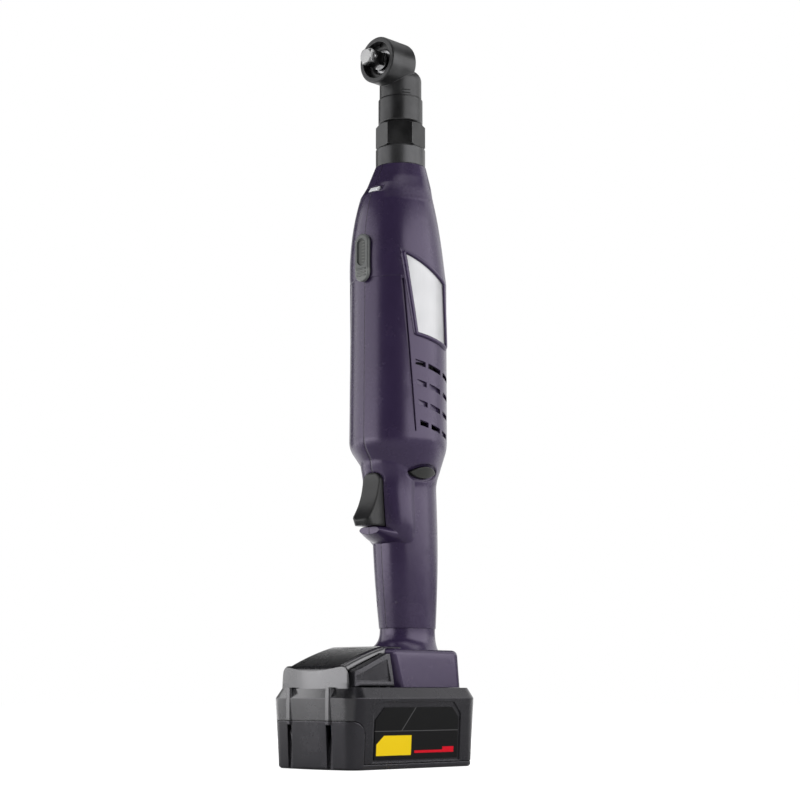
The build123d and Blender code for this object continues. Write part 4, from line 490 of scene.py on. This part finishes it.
collarLook = {
    "deep": rgb(0.055, 0.055, 0.057), "pale": rgb(0.080, 0.080, 0.083), "worn": rgb(0.30, 0.30, 0.31),
    "rough": 0.36, "roughSpan": 0.10, "grain": 1700, "grainDepth": 0.00002, "edge": 0.0006, "metal": 0.78,
}
driveLook = {
    "deep": rgb(0.28, 0.28, 0.285), "pale": rgb(0.36, 0.36, 0.36), "worn": rgb(0.60, 0.60, 0.60),
    "rough": 0.24, "roughSpan": 0.12, "grain": 1400, "grainDepth": 0.00001, "edge": 0.0004, "metal": 1.0,
}
groundLook = {
    "deep": rgb(0.34, 0.34, 0.35), "pale": rgb(0.46, 0.46, 0.47), "worn": rgb(0.62, 0.62, 0.62),
    "rough": 0.32, "roughSpan": 0.14, "grain": 1200, "grainDepth": 0.00002, "edge": 0.0003, "metal": 1.0,
}
castLook = {
    "deep": rgb(0.42, 0.42, 0.43), "pale": rgb(0.55, 0.55, 0.56), "worn": rgb(0.68, 0.68, 0.69),
    "rough": 0.52, "roughSpan": 0.14, "grain": 700, "grainDepth": 0.00006, "edge": 0.0005, "metal": 1.0,
}
screwLook = {
    "deep": rgb(0.035, 0.035, 0.036), "pale": rgb(0.055, 0.055, 0.056), "worn": rgb(0.30, 0.30, 0.30),
    "rough": 0.38, "roughSpan": 0.12, "grain": 1500, "grainDepth": 0.00002, "edge": 0.0003, "metal": 0.7,
}
contactLook = {
    "deep": rgb(0.62, 0.45, 0.20), "pale": rgb(0.75, 0.56, 0.27), "worn": rgb(0.85, 0.70, 0.40),
    "rough": 0.28, "roughSpan": 0.10, "grain": 1200, "grainDepth": 0.00001, "edge": 0.0002, "metal": 1.0,
}
neckMarks = {                                   # low is above the lower end of the head, turn is in degrees
    "low": 0.0406, "pitch": 0.0021, "half": 0.0003, "soft": 0.0001, "turn": 58, "face": (0.004, 0.006),
    "ends": (0.0029, 0.0035), "darkLine": rgb(0.008, 0.008, 0.008), "share": 0.75, "depth": 8.0,
}


def neckLines(sheet):                           # two short scribed lines on the neck of the head, which get painted shade
    x, y, z = sheet.axes()
    turn = math.radians(neckMarks["turn"])
    along = x * math.cos(turn) + y * math.sin(turn)
    ahead = x * math.sin(turn) - y * math.cos(turn)
    width = (1 - abs(along).rise(*neckMarks["ends"])) * ahead.rise(*neckMarks["face"])
    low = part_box("head_housing")[0].z + neckMarks["low"]
    first = z.near(low, neckMarks["half"], neckMarks["soft"])
    second = z.near(low + neckMarks["pitch"], neckMarks["half"], neckMarks["soft"])
    return (first + second) * width


def machinedMetal(name, look, marks=None):
    material, sheet = newFinish(name)
    soft, colour, rough, height = usedSurface(sheet, look, metalWear)
    if marks:
        cut = marks(sheet)
        # painted shade: the scribed lines are darkened as if shade lay in their grooves
        colour = sheet.tint(cut * neckMarks["share"], colour, neckMarks["darkLine"])
        height = height - cut * neckMarks["depth"]
    normal = sheet.bump(height, look["grainDepth"], soft)
    sheet.surface(Base_Color=colour, Roughness=rough, Metallic=look["metal"], Normal=normal)
    return material


dress(machinedMetal("head_steel", headLook, neckLines), "head_housing")
dress(machinedMetal("nut_steel", nutLook), "lock_nut", "head_ring")
dress(machinedMetal("collar_metal", collarLook), "gear_case")
dress(machinedMetal("drive_steel", driveLook), "drive_spindle", "detent_ball")
steelNodes = [
    "trigger_spring", "rotor_bearings", "rotor_shaft", "ring_gear", "first_carrier", "second_carrier",
    "clutch_nut", "clutch_spring", "clutch_cam", "clutch_balls", "clutch_shaft", "clutch_bearing",
    "head_clip", "pinion_bearings", "bevel_pinion", "bevel_gear", "spindle_bearing", "latch_springs",
]
steelNodes += [name for name in nodes if "_planet_" in name]
dress(machinedMetal("ground_steel", groundLook), *steelNodes)
dress(machinedMetal("cast_aluminium", castLook), "motor_rear_plate", "motor_front_plate")
dress(machinedMetal("screw_black", screwLook), "housing_screws", "pack_screws")
dress(machinedMetal("contact_brass", contactLook), "terminal_blades")
print("metals done")

# Springs of the trigger and the latches, each a copy of its node

springLook = {"triggerSeat": -0.0045, "latchSeat": 0.0050}


def keepSide(side):                             # leaves the coil of one side, or every coil where side is 0
    def shaping(form):
        other = [vert for vert in form.verts if vert.co.x * side < 0]
        bmesh.ops.delete(form, geom=other, context="VERTS")
    return shaping


def pressed(spring, joint, axis, seat):         # reads the joint's travel and the spring's length, and gives the spring a mesh of its own
    joints = frame["record"]["behaviour"]["joints"]
    travel = next(row["range_m"][1] for row in joints if row["name"] == joint)
    length = max(abs(vert.co.dot(axis) - seat) for vert in spring.data.vertices)
    1 - travel / length
    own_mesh(spring)


triggerSpring = reshaped("trigger_coil", "trigger_spring", "housing", keepSide(0))
pressed(triggerSpring, "trigger_pull", Vector((0, 1, 0)), springLook["triggerSeat"])
for word, side in (("right", 1), ("left", -1)):
    latchSpring = reshaped("latch_coil_" + word, "latch_springs", "pack", keepSide(side))
    pressed(latchSpring, "latch_" + word + "_press", Vector((1, 0, 0)), side * springLook["latchSeat"])
print("springs done")

# Name plate, lens, label and the inner electrical pieces

plateLook = {
    "deep": rgb(0.36, 0.36, 0.37), "pale": rgb(0.50, 0.50, 0.51), "metal": 0.75, "rough": 0.42,
    "roughSpan": 0.12, "stretch": (60, 2600, 60), "lines": (1.0, 3.0, 0.6), "lineShare": 0.6,
    "cloud": 35, "cloudSpan": (0.3, 0.7), "cloudShare": 0.4, "edge": 0.0004, "depth": 0.00001,
}


def brushedPlate():
    material, sheet = newFinish("plate_silver")
    lines = sheet.noise(*plateLook["lines"], sheet.stretched(plateLook["stretch"]))
    cloud = sheet.noise(plateLook["cloud"]).rise(*plateLook["cloudSpan"])
    share = plateLook["lineShare"] * lines + plateLook["cloudShare"] * cloud
    colour = sheet.tint(share, plateLook["deep"], plateLook["pale"])
    rough = lines.about(plateLook["rough"], plateLook["roughSpan"])
    normal = sheet.bump(lines, plateLook["depth"], sheet.rounded(plateLook["edge"]))
    sheet.surface(Base_Color=colour, Roughness=rough, Metallic=plateLook["metal"], Normal=normal)
    return material


lensLook = {
    "clear": rgb(0.86, 0.88, 0.89), "milk": rgb(0.93, 0.94, 0.95), "cloud": 300, "rough": 0.12,
    "roughSpan": 0.08, "ripple": (900, 1.0), "depth": 0.00002, "edge": 0.0004, "coat": 0.4, "coatRough": 0.05,
}


def milkyLens():
    material, sheet = newFinish("lens_milky")
    cloud = sheet.noise(lensLook["cloud"])
    colour = sheet.tint(cloud, lensLook["clear"], lensLook["milk"])
    rough = cloud.about(lensLook["rough"], lensLook["roughSpan"])
    ripple = sheet.noise(*lensLook["ripple"])
    normal = sheet.bump(ripple, lensLook["depth"], sheet.rounded(lensLook["edge"]))
    sheet.surface(Base_Color=colour, Roughness=rough, Normal=normal,
                  Coat_Weight=lensLook["coat"], Coat_Roughness=lensLook["coatRough"])
    return material


labelLook = {                                   # places are shares of the label's width and height
    "film": rgb(0.0045, 0.0045, 0.0050), "sheen": rgb(0.0065, 0.0065, 0.0070),
    "line": rgb(0.085, 0.085, 0.088), "yellow": rgb(0.96, 0.67, 0.006), "red": rgb(0.72, 0.003, 0.018),
    "cloud": 40, "patch": (0.02, 0.43, 0.08, 0.46), "patchCut": (0.252, 0.267),
    "patchLean": 1.9, "bars": (0.47, 0.95, 0.115, 0.225), "split": (0.806, 0.814), "thinTop": (0.160, 0.170),
    "softAcross": 0.004, "softUp": 0.006,
    "lineHeight": 0.545, "lineHalf": 0.007, "lineSoft": 0.003,
    "slantFoot": 0.31, "slantLean": 0.36, "slantHalf": 0.005, "slantSoft": 0.002, "slantStart": 0.01,
    "rough": 0.50, "roughSpan": 0.10, "smudge": (120, 3.0), "gloss": 0.12,
    "grain": (1800, 1.0), "depth": 0.00001, "edge": 0.0002,
}


def labelBlock(across, up, sides):
    left, right, bottom, top = sides
    return across.inside(left, right, labelLook["softAcross"]) * up.inside(bottom, top, labelLook["softUp"])


def packLabel():                                # plain colour blocks and thin lines
    material, sheet = newFinish("label_film")
    low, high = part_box("pack_label")
    y, z = sheet.axes()[1:]
    across = (y - low.y) / (high.y - low.y)
    up = (z - low.z) / (high.z - low.z)
    cutCorner = (up - across * labelLook["patchLean"]).rise(*labelLook["patchCut"])
    patch = labelBlock(across, up, labelLook["patch"]) * (1 - cutCorner)
    thin = 1 - across.rise(*labelLook["split"])
    bars = labelBlock(across, up, labelLook["bars"]) * (1 - thin * up.rise(*labelLook["thinTop"]))
    height = labelLook["lineHeight"]
    line = up.near(height, labelLook["lineHalf"], labelLook["lineSoft"])
    lean = across - (up - height) * labelLook["slantLean"]
    slant = lean.near(labelLook["slantFoot"], labelLook["slantHalf"], labelLook["slantSoft"])
    slant = slant * up.rise(height, height + labelLook["slantStart"])
    colour = sheet.tint(sheet.noise(labelLook["cloud"]), labelLook["film"], labelLook["sheen"])
    colour = sheet.tint(line.most(slant), colour, labelLook["line"])
    colour = sheet.tint(patch, colour, labelLook["yellow"])
    colour = sheet.tint(bars, colour, labelLook["red"])
    rough = sheet.noise(*labelLook["smudge"]).about(labelLook["rough"], labelLook["roughSpan"])
    grain = sheet.noise(*labelLook["grain"])
    normal = sheet.bump(grain, labelLook["depth"], sheet.rounded(labelLook["edge"]))
    sheet.surface(Base_Color=colour, Roughness=rough, Normal=normal, Specular_IOR_Level=labelLook["gloss"])
    return material


laminationLook = {
    "deep": rgb(0.12, 0.12, 0.125), "pale": rgb(0.30, 0.30, 0.31), "pitch": 0.0007, "depth": 0.00006,
    "edge": 0.0002, "rough": 0.45, "roughSpan": 0.1, "smudge": 300, "metal": 0.9,
}


def stackedSheets():                            # laminated steel of the motor
    material, sheet = newFinish("lamination_steel")
    layers = sheet.axes()[2].stripes(laminationLook["pitch"])
    colour = sheet.tint(layers * 0.5 + 0.5, laminationLook["deep"], laminationLook["pale"])
    rough = sheet.noise(laminationLook["smudge"]).about(laminationLook["rough"], laminationLook["roughSpan"])
    normal = sheet.bump(layers, laminationLook["depth"], sheet.rounded(laminationLook["edge"]))
    sheet.surface(Base_Color=colour, Roughness=rough, Metallic=laminationLook["metal"], Normal=normal)
    return material


copperLook = {
    "deep": rgb(0.42, 0.15, 0.05), "pale": rgb(0.66, 0.29, 0.12), "cloud": 200, "pitch": 0.0009,
    "depth": 0.00012, "edge": 0.0003, "rough": 0.3, "strandRough": 0.05, "metal": 0.9, "lacquer": 0.3,
}


def copperWire():
    material, sheet = newFinish("copper_wire")
    strands = sheet.axes()[2].stripes(copperLook["pitch"])
    colour = sheet.tint(sheet.noise(copperLook["cloud"]), copperLook["deep"], copperLook["pale"])
    rough = copperLook["rough"] + copperLook["strandRough"] * strands
    normal = sheet.bump(strands, copperLook["depth"], sheet.rounded(copperLook["edge"]))
    sheet.surface(Base_Color=colour, Roughness=rough, Metallic=copperLook["metal"], Normal=normal,
                  Coat_Weight=copperLook["lacquer"])
    return material


boardLook = {
    "gap": rgb(0.03, 0.13, 0.05), "track": rgb(0.015, 0.075, 0.03), "cells": 420, "cellSpan": (0.0, 0.5),
    "depth": 0.00003, "edge": 0.0002, "rough": 0.35, "trackRough": 0.15, "lacquer": 0.2,
}


def circuitBoard():
    material, sheet = newFinish("board_green")
    tracks = sheet.cells(boardLook["cells"]).rise(*boardLook["cellSpan"])
    colour = sheet.tint(tracks, boardLook["gap"], boardLook["track"])
    rough = boardLook["rough"] + boardLook["trackRough"] * tracks
    normal = sheet.bump(tracks, boardLook["depth"], sheet.rounded(boardLook["edge"]))
    sheet.surface(Base_Color=colour, Roughness=rough, Normal=normal, Coat_Weight=boardLook["lacquer"])
    return material


leadLook = {
    "left": rgb(0.012, 0.012, 0.012), "right": rgb(0.30, 0.015, 0.012), "split": (-0.0005, 0.0005),
    "grain": 1500, "depth": 0.00003, "edge": 0.0002, "rough": 0.45, "roughSpan": 0.1, "smudge": 200,
}


def leadCover():
    material, sheet = newFinish("lead_insulation")
    side = sheet.axes()[0].rise(*leadLook["split"])
    colour = sheet.tint(side, leadLook["left"], leadLook["right"])
    rough = sheet.noise(leadLook["smudge"]).about(leadLook["rough"], leadLook["roughSpan"])
    normal = sheet.bump(sheet.noise(leadLook["grain"]), leadLook["depth"], sheet.rounded(leadLook["edge"]))
    sheet.surface(Base_Color=colour, Roughness=rough, Normal=normal)
    return material


cellLook = {                                    # cap is how far the bare ends begin before the end of a cell
    "deep": rgb(0.03, 0.14, 0.28), "pale": rgb(0.045, 0.18, 0.34), "bare": rgb(0.45, 0.45, 0.46), "cloud": 60,
    "cap": (0.0007, 0.0003), "grain": 500, "depth": 0.00003, "edge": 0.0003,
    "rough": 0.35, "roughSpan": 0.1, "smudge": 90,
}


def cellSleeve():
    material, sheet = newFinish("cell_sleeve")
    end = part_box("battery_cells")[1].x
    start, full = cellLook["cap"]
    cap = abs(sheet.axes()[0]).rise(end - start, end - full)
    colour = sheet.tint(sheet.noise(cellLook["cloud"]), cellLook["deep"], cellLook["pale"])
    colour = sheet.tint(cap, colour, cellLook["bare"])
    rough = sheet.noise(cellLook["smudge"]).about(cellLook["rough"], cellLook["roughSpan"])
    normal = sheet.bump(sheet.noise(cellLook["grain"]), cellLook["depth"], sheet.rounded(cellLook["edge"]))
    sheet.surface(Base_Color=colour, Roughness=rough, Metallic=cap, Normal=normal)
    return material


dress(brushedPlate(), "name_plate")
dress(milkyLens(), "led_lens")
dress(packLabel(), "pack_label")
dress(stackedSheets(), "motor_stator", "rotor_core")
dress(copperWire(), "stator_windings")
dress(circuitBoard(), "led_board", "controller_board", "pack_board")
dress(leadCover(), "motor_leads", "battery_leads")
dress(cellSleeve(), "battery_cells")
print("plate, lens, label and electrics done")

# Floor, light and camera

viewLook = {                                    # turns are in degrees from the trigger side to the right
    "turn": 43.5, "reach": 1.25, "height": 0.048, "pitch": 9.07, "lens": 82.6, "sensor": 36.0,
    "pixels": 800, "column": 400.5,
}
viewTurn = math.radians(viewLook["turn"])
stageLook = {
    "reach": 6.0, "sides": 96, "gap": 0.0002, "pale": rgb(0.64, 0.64, 0.64), "near": 0.84,
    "fade": (0.35, 1.20), "behind": (0.0, 0.4),
}


def floorFinish():                              # pale and matte, bright where the camera or a mirror sees it
    material, sheet = newFinish("floor_pale")
    seen, mirrored = sheet.rays()
    x, y = sheet.axes()[:2]
    behind = (y * math.cos(viewTurn) - x * math.sin(viewTurn)).rise(*stageLook["behind"])
    away = sheet.node("ShaderNodeVectorMath", {"operation": "LENGTH"}, {0: sheet.place()}, out="Value")
    share = stageLook["near"] + (1 - stageLook["near"]) * away.rise(*stageLook["fade"])
    matte = sheet.node("ShaderNodeBsdfDiffuse", None, {"Color": stageLook["pale"]})
    glow = sheet.node("ShaderNodeEmission", None, {"Color": rgb(1, 1, 1), "Strength": 1.0})
    bright = sheet.node("ShaderNodeAddShader", None, {0: matte, 1: glow})
    bounced = seen.most(mirrored * behind)
    both = sheet.node("ShaderNodeMixShader", None, {0: bounced * share, 1: matte, 2: bright})
    sheet.node("ShaderNodeOutputMaterial", None, {"Surface": both})
    return material


def paleFloor():
    mesh = bpy.data.meshes.new("floor")
    form = bmesh.new()
    bmesh.ops.create_circle(form, cap_ends=True, radius=stageLook["reach"], segments=stageLook["sides"])
    form.to_mesh(mesh)
    form.free()
    mesh.materials.append(floorFinish())
    floor = bpy.data.objects.new("floor", mesh)
    floor.location.z = cadLow.z - stageLook["gap"]
    scene.collection.objects.link(floor)


roomLook = {"fill": 0.03, "dim": 0.02, "sides": (0.80, 0.93), "crown": (0.22, 0.42)}


def whiteRoom():                                # a white sheet behind the tool, dim elsewhere
    world = bpy.data.worlds.new("studio")
    scene.world = world
    world.use_nodes = True
    sheet = Sheet(world.node_tree)
    seen, mirrored = sheet.rays()
    look = sheet.node("ShaderNodeTexCoord", out="Generated")
    behind = sheet.node("ShaderNodeVectorMath", {"operation": "DOT_PRODUCT"},
                        {0: look, 1: (-math.sin(viewTurn), math.cos(viewTurn), 0.0)}, out="Value")
    height = sheet.node("ShaderNodeSeparateXYZ", None, {0: look}, out="Z")
    screen = behind.rise(*roomLook["sides"]) * (1 - height.rise(*roomLook["crown"]))
    level = roomLook["dim"] + (1 - roomLook["dim"]) * screen
    light = seen + (1 - seen) * (mirrored * level + (1 - mirrored) * roomLook["fill"])
    dark = sheet.node("ShaderNodeBackground", None, {"Color": rgb(0, 0, 0)})
    glow = sheet.node("ShaderNodeBackground", None, {"Color": rgb(1, 1, 1)})
    both = sheet.node("ShaderNodeMixShader", None, {0: light, 1: dark, 2: glow})
    sheet.node("ShaderNodeOutputWorld", None, {"Surface": both})


def around(turn, reach, height):                # a place round the tool
    return Vector((reach * math.sin(turn), -reach * math.cos(turn), height))


def standAt(thing, place, gaze):                # a light or the camera, which looks along the gaze
    thing.location = place
    thing.rotation_mode = "QUATERNION"
    thing.rotation_quaternion = gaze.to_track_quat("-Z", "Y")
    scene.collection.objects.link(thing)


softboxes = {
    "left_box": {"turn": -46, "reach": 1.2, "height": 0.58, "aim": 0.5, "size": (2.1, 1.05), "watts": 12},
    "right_box": {"turn": 102, "reach": 1.2, "height": 0.66, "aim": 0.58, "size": (2.1, 1.0), "watts": 17.5},
    "far_box": {"turn": 168, "reach": 1.2, "height": 0.70, "aim": 0.55, "size": (1.3, 1.0), "watts": 4.5},
    "low_box": {"turn": -26, "reach": 1.0, "height": 0.17, "aim": 0.05, "size": (0.9, 0.3), "watts": 1.9},
    "top_box": {"turn": 180, "reach": 0.25, "height": 1.7, "aim": 0.0, "size": (1.4, 1.4), "watts": 10},
}


def softbox(name, box):
    light = bpy.data.lights.new(name, "AREA")
    light.shape = "RECTANGLE"
    light.size, light.size_y = box["size"]
    light.energy = box["watts"]
    lamp = bpy.data.objects.new(name, light)
    lamp.visible_camera = False
    place = around(math.radians(box["turn"]), box["reach"], box["height"])
    standAt(lamp, place, Vector((0, 0, box["aim"])) - place)


def photoCamera():
    lens = bpy.data.cameras.new("camera")
    lens.sensor_width = viewLook["sensor"]
    lens.lens = viewLook["lens"]
    camera = bpy.data.objects.new("camera", lens)
    pitch = math.radians(viewLook["pitch"])
    focal = viewLook["pixels"] * viewLook["lens"] / viewLook["sensor"]
    turn = viewTurn + math.atan((viewLook["column"] - viewLook["pixels"] / 2) / focal)
    gaze = Vector((-math.sin(turn) * math.cos(pitch), math.cos(turn) * math.cos(pitch), math.sin(pitch)))
    standAt(camera, around(viewTurn, viewLook["reach"], viewLook["height"]), gaze)
    scene.camera = camera


paleFloor()
whiteRoom()
for name, box in softboxes.items():
    softbox(name, box)
photoCamera()
print("stage, light and camera done")
